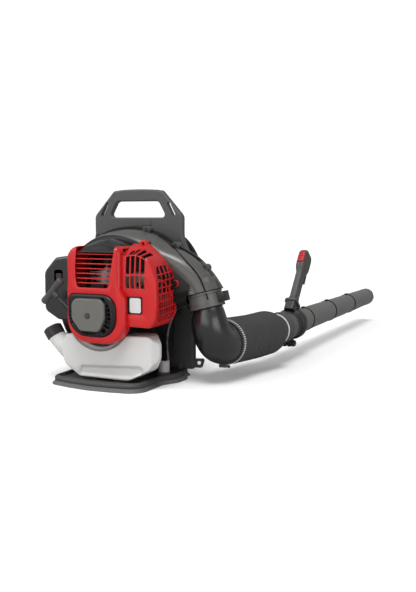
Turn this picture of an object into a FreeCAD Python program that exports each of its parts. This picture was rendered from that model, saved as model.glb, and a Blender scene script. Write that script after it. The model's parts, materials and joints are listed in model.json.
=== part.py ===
import FreeCAD, Part
import math
import os
from FreeCAD import Vector as V

# Backpack leaf blower. Millimetres. +X is the wearer's right, +Y is forward, along the blower
# tube, and +Z is up. The floor is Z = 0, the crankshaft's centreline is X = 0, and the base's
# rest face holds the origin.

X_AXIS = V(1, 0, 0)
Y_AXIS = V(0, 1, 0)
Z_AXIS = V(0, 0, 1)

# Clearances
seat_gap = 0.3            # beside soft pieces, and between pieces that move past each other
shaft_gap = 0.05          # radial, a shaft in its bearing

# Crank centreline and the planes along Y that the machine is stacked on
crank_z = 175.0
seam_y = 20.0             # where the two fan housing halves meet
engine_half_depth = 65.0
back_half_depth = 40.0
mount_length = 14.0       # rubber mount between the housing and the back frame
frame_t = 15.0
engine_face_y = seam_y - engine_half_depth
back_face_y = seam_y + back_half_depth
frame_y = back_face_y + mount_length
frame_front_y = frame_y + frame_t

# Back frame
frame_half_width = 160.0
handle_half_width = 129.0
handle_base_z = 352.0
handle_shoulder_z = 408.0
handle_top_z = 473.0
handle_crown = 3.0
handle_top_half_width = 70.0
grip_low_z = 404.0
grip_high_z = 445.0
grip_low_half_width = 84.0
grip_high_half_width = 61.0
slot_low_x = 107.0
slot_high_x = 89.0
slot_half = 5.0
frame_rim = 13.0
frame_web = 7.0
frame_edge_r = 5.0

# Base
base_t = 20.0
base_half_width = 149.0
base_waist_half_width = 126.0
base_foot_half_width = 133.0
base_rear_y = -152.0
base_front_y = 104.0
base_step_y = -30.0
base_bead = 12.0
base_floor_t = 14.0
base_hole_x = -113.0
base_hole_y = -110.0
base_hole_half = 14.0
base_hole_r = 6.0

# Rubber mounts
mount_r = 14.0
mount_boss_h = 4.0
low_mount_x = 115.0
low_mount_y = 0.0
low_mount_length = 30.0
high_mount_x = 118.0
high_mount_z = 235.0

# Fan housing: a scroll that grows clockwise, seen from the engine
scroll_r = 197.0          # shell radius straight above the crank
scroll_growth = 0.304     # per degree
scroll_turn = 42.0        # where the wall starts to run out into the duct
duct_growth = 1.5         # per degree, past scroll_turn
scroll_start = -255.0
scroll_end = 77.2
housing_wall = 3.0
flange_lip = 9.0
flange_t = 5.0
fan_circle_r = 112.0
duct_tilt = 15.0          # degrees outwards from straight down
duct_r = 36.0
duct_wall = 3.0
neck_length = 18.0
intake_r = 78.0
grille_t = 5.0
leg_half_width = 15.0
screw_boss_r = 7.5
screw_boss_length = 14.0

# Screws are all one size
bolt_r = 3.0
bolt_head_r = 5.0
bolt_head_h = 4.0

# Impeller
impeller_r = 105.0
impeller_depth = 58.0
impeller_blades = 12
blade_t = 2.5
impeller_hub_r = 22.0
impeller_running_gap = 6.0

# Outlet clamp and elbow
clamp_t = 4.0
outlet_clamp_length = 36.0
elbow_bend_r = 57.5
elbow_end_r = 52.0
elbow_end_x = 245.0
elbow_collar = 24.0
elbow_wall = 3.0

# Blower tube
tube_x = 281.0
tube_z = 96.0
hose_wall = 2.2
rib_height = 2.4
hose_length = 283.0
rib_pitch = 9.3
hose_cuff = 26.0
shoulder_length = 66.0
pipe_end_r = 37.0         # the swivel pipe's end, inside the hose
pipe_end_length = 34.0
swivel_r = 36.0
swivel_length = 242.5
straight_r = 31.0
straight_length = 247.0
nozzle_length = 290.0
nozzle_r = 33.5
nozzle_tip_r = 30.5
pipe_wall = 2.2
ring_h = 3.0
ring_w = 9.0
socket_depth = 30.0
wire_ring_r = 2.0

# Control handle
handle_lean = 40.0        # degrees forward of upright
grip_clamp_w = 38.0
grip_clamp_t = 6.5
grip_clamp_y = 451.0
grip_base_ahead = 26.0    # from the clamp's middle forward to the handle's base
grip_start = 20.0         # from the handle's base up to the top of its foot
foot_length = 54.0
foot_width = 42.0
foot_t = 9.0
grip_rise = 122.0
grip_width = 25.0
grip_depth = 32.0
head_width = 36.0
head_depth = 52.0
head_height = 66.0
trigger_length = 52.0
stop_half_w = 10.0
stop_proud = 4.0

# Engine
crankcase_r = 41.0
crankcase_bore_r = 35.0
case_rear_wall = 13.0
case_front_wall = 10.0
web_t = 9.0
web_gap = 14.0
web_r = 26.0
web_side_gap = 1.0
crank_throw = 17.0
crank_shaft_r = 7.5
crank_pin_r = 7.0
bearing_r = 17.5
bearing_w = 9.0
rod_length = 60.0
rod_t = 8.0
rod_big_r = 11.0
rod_small_r = 9.0
rod_slot_half = 29.0      # room in the crankcase's neck for the rod's big end
bore_r = 20.0
cylinder_wall = 5.0
cylinder_base_z = 41.0    # above the crank
piston_skirt = 14.0
piston_crown = 16.0
piston_gap = 0.06
wrist_pin_r = 5.0
fin_count = 8
fin_t = 2.0
fin_pitch = 6.4
fin_half = 37.0
fin_depth = 27.0
flywheel_r = 46.0
flywheel_t = 15.0
flywheel_gap = 3.0
starter_cup_r = 26.0
starter_cup_t = 8.0
coil_t = 11.0
coil_foot_x = 13.0
plug_thread_r = 5.0

# Starter
reel_r = 38.0             # where the rope winds
reel_flange_r = 42.0
reel_t = 11.0
spring_w = 5.0
post_r = 6.0
starter_left_x = -61.0
starter_right_x = 71.0
starter_half_height = 50.0
starter_depth = 29.0
starter_wall = 3.0
starter_post_x = 58.0
starter_post_zs = (160.0, 187.0)
starter_post_r = 5.0
disc_t = 7.0
disc_half_width = 45.0
disc_top = 40.0
disc_low = 36.5
rope_r = 2.2
rope_angle = 43.0         # degrees above level, to the left
rope_inside = 12.0        # from the tangent point to where the visible rope begins
tee_along = 118.0         # from the tangent point to the grip's middle
tee_length = 78.0
tee_r = 9.5

# Engine cover
cover_left_x = -68.0
cover_right_x = 166.0
cover_top_z = 336.0
cover_low_z = 108.0
cover_corner_z = 149.0
cover_step_x = 77.0
cover_front_y = -150.0
cover_step = 15.0
cover_rear_y = -52.0
cover_side_rear_y = -28.0
cover_wall = 2.6
cover_lug_r = 9.0
cover_gap = 2.5            # between the cover's side part and the fan housing
cover_lobe_depth = 30.0    # of the rim round the starter's lower half
cover_top_lug = (98.0, 339.0)
cover_side_lug = (169.0, 248.0)
lobe_r = 58.0
slat_count = 7
slat_h = 3.4

# Fuel tank
tank_low_z = 20.0
tank_high_z = 128.0
tank_left_x = -107.0
tank_right_x = 162.0
tank_rear_y = -118.0
tank_depth = 66.0
tank_recess_r = 92.0
tank_wall = 3.0
neck_r = 17.0
neck_x = -116.0
neck_z = 66.0
neck_tilt = 32.0          # degrees from upright, to the left
neck_out = 67.0
line_x = -78.0
line_r = 2.5
cap_r = 23.5
cap_h = 27.0
cap_ribs = 18

# Air box
air_left_x = -169.0
air_right_x = -89.0
air_low_z = 152.0
air_high_z = 312.0
air_rear_y = -98.0
air_depth = 52.0
air_wall = 2.6
intake_z = 232.0
choke_axle_r = 3.0

# Back pad and straps
pad_half_width = 105.0
pad_low_z = 120.0
pad_high_z = 330.0
pad_t = 26.0
strap_x = 92.0
strap_width = 56.0
strap_t = 14.0

crank_mid_y = engine_face_y - case_front_wall - web_side_gap - web_t - web_gap / 2
case_rear_y = crank_mid_y - web_gap / 2 - web_t - web_side_gap - case_rear_wall
cylinder_z = crank_z + cylinder_base_z
duct_y = seam_y + (back_half_depth - engine_half_depth) / 2


# Shape helpers

def box(x0, x1, y0, y1, z0, z1):
    return Part.makeBox(x1 - x0, y1 - y0, z1 - z0, V(x0, y0, z0))


def rod(r, start, axis, length):
    return Part.makeCylinder(r, length, start, axis)


def ring(r_out, r_in, start, axis, length):
    return rod(r_out, start, axis, length).cut(rod(r_in, start, axis, length))


def rounded_wire(corners, place):
    """A closed wire through (a, b, radius) corners, each rounded by its radius and put in space by place."""
    stops = []
    for i, (a, b, r) in enumerate(corners):
        here = V(a, b, 0)
        before = V(corners[i - 1][0], corners[i - 1][1], 0) - here
        after = V(corners[(i + 1) % len(corners)][0], corners[(i + 1) % len(corners)][1], 0) - here
        half = before.getAngle(after) / 2
        before.normalize()
        after.normalize()
        middle = before + after
        if r > 0 and middle.Length > 1e-6:
            middle.normalize()
            back = r / math.tan(half)
            top = here + middle * (r / math.sin(half) - r)
            stops.append((here + before * back, top, here + after * back))
        else:
            stops.append((here, None, here))
    edges = []
    for i, (start, top, end) in enumerate(stops):
        if top is not None:
            edges.append(Part.Arc(place(start), place(top), place(end)).toShape())
        follow = stops[(i + 1) % len(stops)][0]
        if end.distanceToPoint(follow) > 1e-6:
            edges.append(Part.LineSegment(place(end), place(follow)).toShape())
    return Part.Wire(edges)


def prism_x(corners, x0, x1):
    face = Part.Face(rounded_wire(corners, lambda p: V(x0, p.x, p.y)))
    return face.extrude(V(x1 - x0, 0, 0))


def prism_y(corners, y0, y1):
    face = Part.Face(rounded_wire(corners, lambda p: V(p.x, y0, p.y)))
    return face.extrude(V(0, y1 - y0, 0))


def prism_z(corners, z0, z1):
    face = Part.Face(rounded_wire(corners, lambda p: V(p.x, p.y, z0)))
    return face.extrude(V(0, 0, z1 - z0))


def block(a0, a1, b0, b1, r):
    """The corners of a rectangle whose corners have the radius r."""
    return [(a0, b0, r), (a1, b0, r), (a1, b1, r), (a0, b1, r)]


def turned(profile, base, axis):
    """A solid of revolution. The profile is (radius, distance along the axis) pairs."""
    points = [V(r, 0, d) for r, d in profile]
    face = Part.Face(Part.makePolygon(points + points[:1]))
    solid = face.revolve(V(0, 0, 0), Z_AXIS, 360)
    return placed(solid, base, axis)


def placed(shape, base, axis):
    """The shape, made about +Z at the origin, moved to base with +Z along axis."""
    result = shape.copy()
    result.Placement = FreeCAD.Placement(V(base), FreeCAD.Rotation(Z_AXIS, axis)).multiply(shape.Placement)
    return result


def circle(r, centre, axis):
    return Part.Wire(Part.makeCircle(r, centre, axis))


def fused(shapes):
    result = shapes[0]
    if len(shapes) > 1:
        result = result.multiFuse(shapes[1:])
    return result.removeSplitter()


def rounded(shape, r, wanted):
    """The shape with a fillet on the edges that wanted picks."""
    return shape.makeFillet(r, [e for e in shape.Edges if wanted(e.BoundBox)])


def in_plane_y(y):
    return lambda b: abs(b.YMin - y) < 0.01 and abs(b.YMax - y) < 0.01


def in_plane_z(z):
    return lambda b: abs(b.ZMin - z) < 0.01 and abs(b.ZMax - z) < 0.01


def mirrored(shape):
    return shape.mirror(V(0, 0, 0), X_AXIS)


def turned_about(shape, base, axis, degrees):
    result = shape.copy()
    result.rotate(base, axis, degrees)
    return result


def polar(r, degrees):
    """A point in the X-Z plane, degrees clockwise from +Z about the crank."""
    a = math.radians(degrees)
    return r * math.sin(a), crank_z + r * math.cos(a)


# Back frame

def frame_outline():
    low = base_t
    half = [
        (frame_half_width, low, 8),
        (frame_half_width, handle_base_z - 75, 60),
        (handle_half_width, handle_base_z + 4, 40),
        (handle_half_width, handle_shoulder_z, 20),
        (handle_top_half_width, handle_top_z, 14),
    ]
    left = [(-x, z, r) for x, z, r in reversed(half)]
    return half + left


def handle_slot(side):
    """A slot beside the carry handle's opening, along its slanted side."""
    low_z = grip_low_z + 4
    high_z = grip_high_z - 2
    corners = [
        (side * (slot_low_x - slot_half), low_z, 3.5),
        (side * (slot_low_x + slot_half), low_z, 3.5),
        (side * (slot_high_x + slot_half), high_z, 3.5),
        (side * (slot_high_x - slot_half), high_z, 3.5),
    ]
    return prism_y(corners, frame_y - 1, frame_front_y + 1)


def back_frame():
    plate = prism_y(frame_outline(), frame_y, frame_front_y)
    crown_r = (handle_top_half_width ** 2 + handle_crown ** 2) / (2 * handle_crown)
    crown = rod(crown_r, V(0, frame_y, handle_top_z + handle_crown - crown_r), Y_AXIS, frame_t)
    keep = box(-handle_top_half_width + 14, handle_top_half_width - 14, frame_y, frame_front_y,
               handle_top_z - 6, handle_top_z + handle_crown + 1)
    plate = plate.fuse(crown.common(keep)).removeSplitter()
    plate = rounded(plate, frame_edge_r, lambda b: in_plane_y(frame_y)(b) and b.ZMax > base_t + 1)
    opening = [
        (-grip_low_half_width, grip_low_z, 8),
        (grip_low_half_width, grip_low_z, 8),
        (grip_high_half_width, grip_high_z, 12),
        (-grip_high_half_width, grip_high_z, 12),
    ]
    grip = prism_y(opening, frame_y - 1, frame_front_y + 1)
    plate = rounded(plate.cut(grip), frame_edge_r - 1, lambda b: in_plane_y(frame_y)(b)
                    and b.ZMin > grip_low_z - 1 and b.ZMax < grip_high_z + 1
                    and b.XMin > -grip_low_half_width - 1 and b.XMax < grip_low_half_width + 1)
    plate = plate.cut(handle_slot(1)).cut(handle_slot(-1))
    side = frame_half_width - frame_rim
    pocket = prism_y(block(-side, side, base_t + frame_rim, handle_base_z - 80, 20),
                     frame_y + frame_web, frame_front_y + 1)
    recess = prism_y([
        (-handle_half_width + frame_rim, handle_base_z, 8),
        (handle_half_width - frame_rim, handle_base_z, 8),
        (handle_half_width - frame_rim, grip_low_z - frame_rim, 8),
        (-handle_half_width + frame_rim, grip_low_z - frame_rim, 8),
    ], frame_front_y - 8, frame_front_y + 1)
    plate = plate.cut(pocket).cut(recess)
    rib_half = 5.0
    ribs = [box(x - rib_half, x + rib_half, frame_y + frame_web - 1, frame_front_y,
                base_t + frame_rim - 1, handle_base_z - 79) for x in (-62.0, 62.0)]
    pads = [rod(mount_r + 2, V(x, frame_y, high_mount_z), Y_AXIS, frame_web + 4)
            for x in (-high_mount_x, high_mount_x)]
    label_pad = prism_y(block(-12, 40, grip_low_z - 20, grip_low_z - 6, 3), frame_y - 1.5, frame_y + 1)
    bosses = [rod(9, V(x, y, base_t), Z_AXIS, frame_rim) for x, y in frame_bolt_places()]
    plate = fused([plate] + ribs + pads + [label_pad] + bosses)
    for x, y in frame_bolt_places():
        plate = plate.cut(rod(bolt_r, V(x, y, base_t - 1), Z_AXIS, frame_rim + 2))
    return plate


def frame_bolt_places():
    y = frame_y + frame_t / 2
    return [(x, y) for x in (-120.0, -45.0, 45.0, 120.0)]


# Base

def base_outline(inset=0.0):
    """Wide under the rubber mounts, narrower under the frame and at the tank."""
    foot = base_foot_half_width - inset
    wide = base_half_width - inset
    waist = base_waist_half_width - inset
    rear = base_rear_y + inset
    half = [
        (waist - 2, rear + 18, 16), (waist, base_step_y - 12, 30), (wide, base_step_y + 34, 26),
        (wide, low_mount_y + 45, 26), (foot, low_mount_y + 76, 14), (foot, base_front_y - inset, 12),
    ]
    return [(0, rear, 300)] + half + [(-x, y, r) for x, y, r in reversed(half)]


def base_skid():
    body = prism_z(base_outline(), 0, base_t)
    body = rounded(body, 6, in_plane_z(base_t))
    body = rounded(body, 3, in_plane_z(0))
    pocket = prism_z([(x, y, max(r - base_bead, 4)) for x, y, r in base_outline(base_bead)],
                     base_floor_t, base_t + 1)
    under_frame = box(-base_half_width, base_half_width, frame_y - 4, base_front_y + 1, 0, base_t + 2)
    body = body.cut(pocket.cut(under_frame))
    hole = block(base_hole_x - base_hole_r, base_hole_x + base_hole_r, base_hole_y - base_hole_half,
                 base_hole_y + base_hole_half, base_hole_r - 0.1)
    body = body.cut(prism_z(hole, -1, base_t + 1))
    bosses = [rod(mount_r + 3, V(x, low_mount_y, base_floor_t), Z_AXIS, base_t + mount_boss_h - base_floor_t)
              for x in (-low_mount_x, low_mount_x)]
    rests = [box(x - 20, x + 20, tank_rear_y + 12, tank_rear_y + tank_depth - 12, base_floor_t, tank_low_z)
             for x in (-30.0, 55.0)]
    body = fused([body] + bosses + rests)
    for x, y in frame_bolt_places():
        body = body.cut(rod(bolt_r, V(x, y, -1), Z_AXIS, base_t + 2))
        body = body.cut(rod(bolt_head_r + 1, V(x, y, -1), Z_AXIS, bolt_head_h + 2))
    return body


def strap_loops():
    """A flat rectangular loop on each lower corner of the frame."""
    loop_low = 26.0
    loop_high = 50.0
    reach = 30.0
    outer = [
        (frame_half_width, loop_low, 2), (frame_half_width + reach - 8, loop_low, 5),
        (frame_half_width + reach, loop_high, 5), (frame_half_width, loop_high - 2, 2),
    ]
    hole = [
        (frame_half_width + 8, loop_low + 7, 2), (frame_half_width + reach - 12, loop_low + 7, 3),
        (frame_half_width + reach - 7, loop_high - 7, 3), (frame_half_width + 8, loop_high - 8, 2),
    ]
    y = frame_y
    right = prism_y(outer, y, y + 8).cut(prism_y(hole, y - 1, y + 9))
    return Part.makeCompound([right, mirrored(right)])


def vibration_mounts():
    low_z = base_t + mount_boss_h
    pieces = [rod(mount_r, V(x, low_mount_y, low_z), Z_AXIS, low_mount_length)
              for x in (-low_mount_x, low_mount_x)]
    pieces = [rounded(p, 2, lambda b: b.ZLength < 0.01) for p in pieces]
    high = [rod(mount_r, V(x, back_face_y, high_mount_z), Y_AXIS, mount_length)
            for x in (-high_mount_x, high_mount_x)]
    return Part.makeCompound(pieces + high)


# Fan housing

def scroll_radius(degrees, share=1, run_out=1, extra=0):
    """The shell's radius. Share draws it in towards the fan's circle, and run_out is how much of the
    duct's growth it takes part in."""
    r = scroll_r + scroll_growth * min(degrees, scroll_turn)
    grown = duct_growth * max(degrees - scroll_turn, 0)
    return fan_circle_r + (r - fan_circle_r) * share + grown * run_out + extra


def duct_direction():
    a = math.radians(duct_tilt)
    return V(math.sin(a), 0, -math.cos(a))


def duct_centre():
    """The middle of the scroll's outlet, in the duct's mid plane."""
    x, z = polar(scroll_radius(scroll_end), scroll_end)
    a = math.radians(duct_tilt)
    return V(x - duct_r * math.cos(a), duct_y, z - duct_r * math.sin(a))


def duct_chord(y):
    """Half the duct's width at y, and a little where the level passes beside the duct."""
    return math.sqrt(max(duct_r ** 2 - (y - duct_y) ** 2, (duct_r / 3) ** 2))


def scroll_wire(y, share, run_out, extra):
    steps = 28
    span = scroll_end - scroll_start
    points = []
    for i in range(steps + 1):
        degrees = scroll_start + span * i / steps
        x, z = polar(scroll_radius(degrees, share, run_out, extra), degrees)
        points.append(V(x, y, z))
    curve = Part.BSplineCurve()
    curve.interpolate(points)
    a = math.radians(duct_tilt)
    inner = points[-1] + V(-math.cos(a), 0, -math.sin(a)) * 2 * (duct_chord(y) + extra)
    edges = [
        curve.toShape(),
        Part.LineSegment(points[-1], inner).toShape(),
        Part.LineSegment(inner, points[0]).toShape(),
    ]
    return Part.Wire(edges)


def scroll_solid(levels, extra):
    """A closed scroll through (y, share, run_out) levels."""
    return Part.makeLoft([scroll_wire(y, share, run_out, extra) for y, share, run_out in levels], True, False)


def scroll_plate(y0, y1, extra):
    face = Part.Face(scroll_wire(y0, 1, 1, extra))
    return face.extrude(V(0, y1 - y0, 0))


def neck_solid(r):
    start = duct_centre() - duct_direction() * 34
    return rod(r, start, duct_direction(), 34 + neck_length)


def engine_half_levels():
    d = engine_half_depth
    return [(seam_y, 1.0, 1.0), (seam_y - d * 0.62, 0.94, 0.84), (seam_y - d, 0.64, -0.1)]


def back_half_levels():
    d = back_half_depth
    return [(seam_y, 1.0, 1.0), (seam_y + d * 0.6, 0.97, 0.4), (seam_y + d, 0.74, 0.0)]


def screw_places():
    """Screw bosses round the flange, in degrees clockwise from the top."""
    return [-150.0, -118.0, -86.0, -54.0, -22.0, 18.0, 42.0, 64.0]


def screw_centre(degrees):
    return polar(scroll_radius(degrees, extra=flange_lip - 2.5), degrees)


def boss_length(side):
    """The engine half's screw bosses stand further out than the back half's."""
    return screw_boss_length if side < 0 else screw_boss_length * 0.6


def housing_half(levels, side):
    """One half of the fan housing. Side is -1 for the engine half and 1 for the back half."""
    shell = scroll_solid(levels, 0)
    flange = scroll_plate(seam_y, seam_y + side * flange_t, flange_lip)
    lugs = []
    for degrees in screw_places():
        x, z = screw_centre(degrees)
        lugs.append(rod(screw_boss_r, V(x, seam_y, z), Y_AXIS * side, boss_length(side)))
    neck = neck_solid(duct_r)
    half_space = box(-400, 400, min(seam_y, seam_y + side * 200), max(seam_y, seam_y + side * 200), -100, 600)
    neck = neck.common(half_space)
    body = fused([shell, flange, neck] + lugs)
    last_y, last_share, last_run_out = levels[-1]
    inner_levels = levels[:-1] + [(last_y - side * housing_wall, last_share, last_run_out)]
    body = body.cut(scroll_solid(inner_levels, -housing_wall))
    body = body.cut(neck_solid(duct_r - duct_wall))
    for degrees in screw_places():
        x, z = screw_centre(degrees)
        body = body.cut(rod(bolt_r, V(x, seam_y - 20, z), Y_AXIS, 40))
    return body


def housing_leg(side, y0, y1):
    """A leg that stands on a lower rubber mount and runs up into the shell."""
    foot_z = base_t + mount_boss_h + low_mount_length
    x = side * low_mount_x
    w = leg_half_width
    return prism_y([
        (x - w, foot_z, 3), (x + w, foot_z, 3), (x + w, foot_z + 14, 10),
        (x + side * 22, crank_z - 15, 8), (x - side * 14, crank_z - 5, 4), (x - w, foot_z + 20, 8),
    ], y0, y1)


def leg_solid(levels, side, y0, y1):
    return housing_leg(side, y0, y1).cut(scroll_solid(levels, 0))


def fan_housing_engine_half():
    levels = engine_half_levels()
    body = housing_half(levels, -1)
    legs = [leg_solid(levels, s, low_mount_y - mount_r, seam_y) for s in (-1, 1)]
    posts = []
    for x, z in (cover_top_lug, cover_side_lug):
        post = rod(cover_lug_r - 1, V(x, cover_rear_y, z), Y_AXIS, seam_y - cover_rear_y)
        posts.append(post.cut(scroll_solid(levels, 0)))
    body = fused([body] + legs + posts)
    body = body.cut(rod(bearing_r + 6, V(0, engine_face_y - 1, crank_z), Y_AXIS, housing_wall + 2))
    return body


def fan_housing_back_half():
    levels = back_half_levels()
    body = housing_half(levels, 1)
    pads = []
    for x in (-high_mount_x, high_mount_x):
        pad = rod(mount_r + 3, V(x, back_face_y - 16, high_mount_z), Y_AXIS, 16)
        pads.append(pad.cut(scroll_solid(levels, 0)))
    body = fused([body] + pads)
    body = body.cut(rod(intake_r, V(0, back_face_y - housing_wall - 2, crank_z), Y_AXIS, housing_wall + 4))
    return body


def intake_grille():
    """A guard of rings and spokes over the fan's intake."""
    y = back_face_y
    outer = ring(intake_r + 9, intake_r - 2, V(0, y, crank_z), Y_AXIS, grille_t)
    rings = [ring(r + 1.5, r - 1.5, V(0, y, crank_z), Y_AXIS, grille_t) for r in (22.0, 36.0, 50.0, 64.0)]
    hub = rod(9, V(0, y, crank_z), Y_AXIS, grille_t)
    spokes = []
    for i in range(8):
        spoke = box(-1.5, 1.5, y, y + grille_t, crank_z + 6, crank_z + intake_r)
        spokes.append(turned_about(spoke, V(0, 0, crank_z), Y_AXIS, 45 * i))
    return fused([outer, hub] + rings + spokes)


def screws():
    """The fan housing's screws and the four that hold the frame to the base."""
    pieces = []
    for degrees in screw_places():
        x, z = screw_centre(degrees)
        face_y = seam_y - boss_length(-1)
        head = rod(bolt_head_r, V(x, face_y - bolt_head_h, z), Y_AXIS, bolt_head_h)
        shank = rod(bolt_r, V(x, face_y, z), Y_AXIS, boss_length(-1) + boss_length(1))
        pieces.append(head.fuse(shank).removeSplitter())
    for x, y in frame_bolt_places():
        head = rod(bolt_head_r, V(x, y, 1), Z_AXIS, bolt_head_h)
        shank = rod(bolt_r, V(x, y, 1 + bolt_head_h), Z_AXIS, base_t + frame_rim - bolt_head_h - 2)
        pieces.append(head.fuse(shank).removeSplitter())
    return Part.makeCompound(pieces)


def impeller():
    """A back plate on the engine side, backward-curved blades and a front shroud ring."""
    y0 = engine_face_y + housing_wall + impeller_running_gap
    back = turned([
        (crank_shaft_r, 0), (impeller_r, 0), (impeller_r, 2.5), (impeller_hub_r + 6, 4),
        (impeller_hub_r, 12), (impeller_hub_r - 4, impeller_depth * 0.6), (crank_shaft_r, impeller_depth * 0.6),
    ], V(0, y0, crank_z), Y_AXIS)
    front = ring(impeller_r, intake_r - 6, V(0, y0 + impeller_depth - 2.5, crank_z), Y_AXIS, 2.5)
    blade_in = impeller_hub_r + 26
    blade_r = 70.0
    reach = rod(impeller_r, V(0, y0, crank_z), Y_AXIS, impeller_depth)
    reach = reach.cut(rod(blade_in, V(0, y0, crank_z), Y_AXIS, impeller_depth))
    blades = []
    for i in range(impeller_blades):
        arc = ring(blade_r + blade_t, blade_r, V(blade_in + 2, y0 + 2, crank_z - blade_r), Y_AXIS,
                   impeller_depth - 3)
        side = box(blade_in + 2, 400, y0, y0 + impeller_depth, crank_z - blade_r, crank_z + 100)
        blade = arc.common(side).common(reach)
        blades.append(turned_about(blade, V(0, 0, crank_z), Y_AXIS, 360 / impeller_blades * i))
    return fused([back, front] + blades)


# Outlet clamp, elbow, hose and pipes

def outlet_clamp():
    """A split band round the joint of the housing's neck and the elbow, closed by a screw."""
    centre = duct_centre() + duct_direction() * neck_length
    start = centre - duct_direction() * (neck_length - 1)
    length = outlet_clamp_length
    band = ring(duct_r + clamp_t, duct_r, start, duct_direction(), length)
    across = V(math.cos(math.radians(duct_tilt)), 0, math.sin(math.radians(duct_tilt)))
    middle = start + duct_direction() * (length / 2)
    lug = box(-9, 9, -9, 9, 0, 16)
    lug = placed(lug, middle + across * (duct_r + clamp_t - 2), across)
    lug = lug.cut(rod(duct_r, start, duct_direction(), length))
    bolt = rod(bolt_r, middle + across * (duct_r + clamp_t + 7) - Y_AXIS * 14, Y_AXIS, 28)
    return fused([band, lug, bolt])


def elbow_entry():
    """The length of the elbow's straight collar inside the outlet clamp."""
    return outlet_clamp_length - neck_length + 1


def elbow_path():
    """(centre, direction, radius) of each section, from the straight collar to the hose."""
    start = duct_centre() + duct_direction() * (neck_length + elbow_entry())
    end = V(elbow_end_x, elbow_end_y(), tube_z)
    slant = math.atan2(end.x - start.x, start.z - end.z)
    down = V(math.sin(slant), 0, -math.cos(slant))
    arc_start = V(end.x, duct_y, end.z) - down * elbow_bend_r
    half = math.radians(duct_tilt) * 0.3 + slant * 0.7
    stations = [
        (start, duct_direction(), duct_r),
        (start * 0.55 + arc_start * 0.45, V(math.sin(half), 0, -math.cos(half)),
         duct_r + (elbow_end_r - duct_r) * 0.25),
    ]
    centre = arc_start + Y_AXIS * elbow_bend_r
    for i in range(5):
        a = math.radians(22.5 * i)
        point = centre - Y_AXIS * (elbow_bend_r * math.cos(a)) + down * (elbow_bend_r * math.sin(a))
        heading = down * math.cos(a) + Y_AXIS * math.sin(a)
        stations.append((point, heading, duct_r + (elbow_end_r - duct_r) * (0.5 + 0.125 * i)))
    return stations


def elbow_solid(inset):
    stations = elbow_path()
    body = Part.makeLoft([circle(r - inset, p, d) for p, d, r in stations], True, False)
    last = stations[-1][0]
    entry = rod(duct_r - inset, duct_centre() + duct_direction() * neck_length, duct_direction(), elbow_entry())
    return [entry, body, rod(elbow_end_r - inset, last, Y_AXIS, elbow_collar)]


def elbow():
    shape = fused(elbow_solid(0))
    for hollow in elbow_solid(elbow_wall):
        shape = shape.cut(hollow)
    return shape


def elbow_end_y():
    return duct_y + elbow_bend_r


def worm_clamp(r, x, y, width):
    """A steel band with a worm screw housing under the hose."""
    band = ring(r + 1.2, r, V(x, y, tube_z), Y_AXIS, width)
    low = tube_z - r
    housing = box(x - 11, x + 11, y - 1, y + width + 1, low - 8, low - 0.8)
    screw = rod(3.4, V(x - 17, y + width / 2, low - 5), X_AXIS, 34)
    housing = housing.cut(rod(r + 0.6, V(x, y - 2, tube_z), Y_AXIS, width + 4))
    return fused([band, housing, screw])


def hose_start_y():
    return elbow_end_y() + 2


def hose_end_y():
    return hose_start_y() + hose_length


def hose_mid_y():
    return hose_start_y() + hose_length / 2


def hose_outer_r():
    return elbow_end_r + seat_gap + hose_wall


def hose_x(y):
    """The hose's middle swings from the elbow's end out to the tube's line, between its two straight cuffs."""
    begin = hose_start_y() + hose_cuff
    end = swivel_start_y() - 4
    t = min(max((y - begin) / (end - begin), 0), 1)
    return elbow_end_x + (tube_x - elbow_end_x) * (1 - math.cos(math.pi * t)) / 2


def hose_inner_r(y):
    """The bore follows the elbow's collar, then draws in over the shoulder to the swivel pipe."""
    wide = elbow_end_r + seat_gap
    narrow = pipe_end_r + seat_gap
    begin = hose_end_y() - shoulder_length - pipe_end_length * 0.4
    end = hose_end_y() - pipe_end_length * 0.7
    t = min(max((y - begin) / (end - begin), 0), 1)
    return wide + (narrow - wide) * (1 - math.cos(math.pi * t)) / 2


def rib_spans(y0, y1):
    """The start of each rib between two ends, evenly spaced."""
    count = max(int((y1 - y0) / rib_pitch), 1)
    pitch = (y1 - y0) / count
    return [(y0 + pitch * i, pitch) for i in range(count)]


def ribbed_tube(y0, y1, rib0, rib1):
    """The hose between y0 and y1, with ribs between rib0 and rib1: four circles to a rib."""
    stations = []
    if rib0 > y0:
        stations.append((y0, 0))
    for start, pitch in rib_spans(rib0, rib1):
        stations += [(start + pitch * 0.12, 0), (start + pitch * 0.34, 1),
                     (start + pitch * 0.66, 1), (start + pitch * 0.88, 0)]
    if stations[0][0] > y0 + 0.01:
        stations.insert(0, (y0, 0))
    if stations[-1][0] < y1 - 0.01:
        stations.append((y1, 0))
    wires = [circle(hose_inner_r(y) + hose_wall + rib_height * up, V(hose_x(y), y, tube_z), Y_AXIS)
             for y, up in stations]
    return Part.makeLoft(wires, True, True)


def hose_bore(y0, y1):
    steps = 24
    wires = []
    for i in range(steps + 1):
        y = y0 + (y1 - y0) * i / steps
        wires.append(circle(hose_inner_r(y), V(hose_x(y), y, tube_z), Y_AXIS))
    return Part.makeLoft(wires, True, True)


def hose_rear():
    y0 = hose_start_y()
    y1 = hose_mid_y() - seat_gap / 2
    return ribbed_tube(y0, y1, y0 + hose_cuff, y1).cut(hose_bore(y0, y1))


def hose_front():
    y0 = hose_mid_y() + seat_gap / 2
    y1 = hose_end_y()
    return ribbed_tube(y0, y1, y0, y1 - hose_cuff).cut(hose_bore(y0, y1))


def hose_clamp_rear():
    return worm_clamp(hose_outer_r(), elbow_end_x, hose_start_y() + 5, 12)


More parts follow.
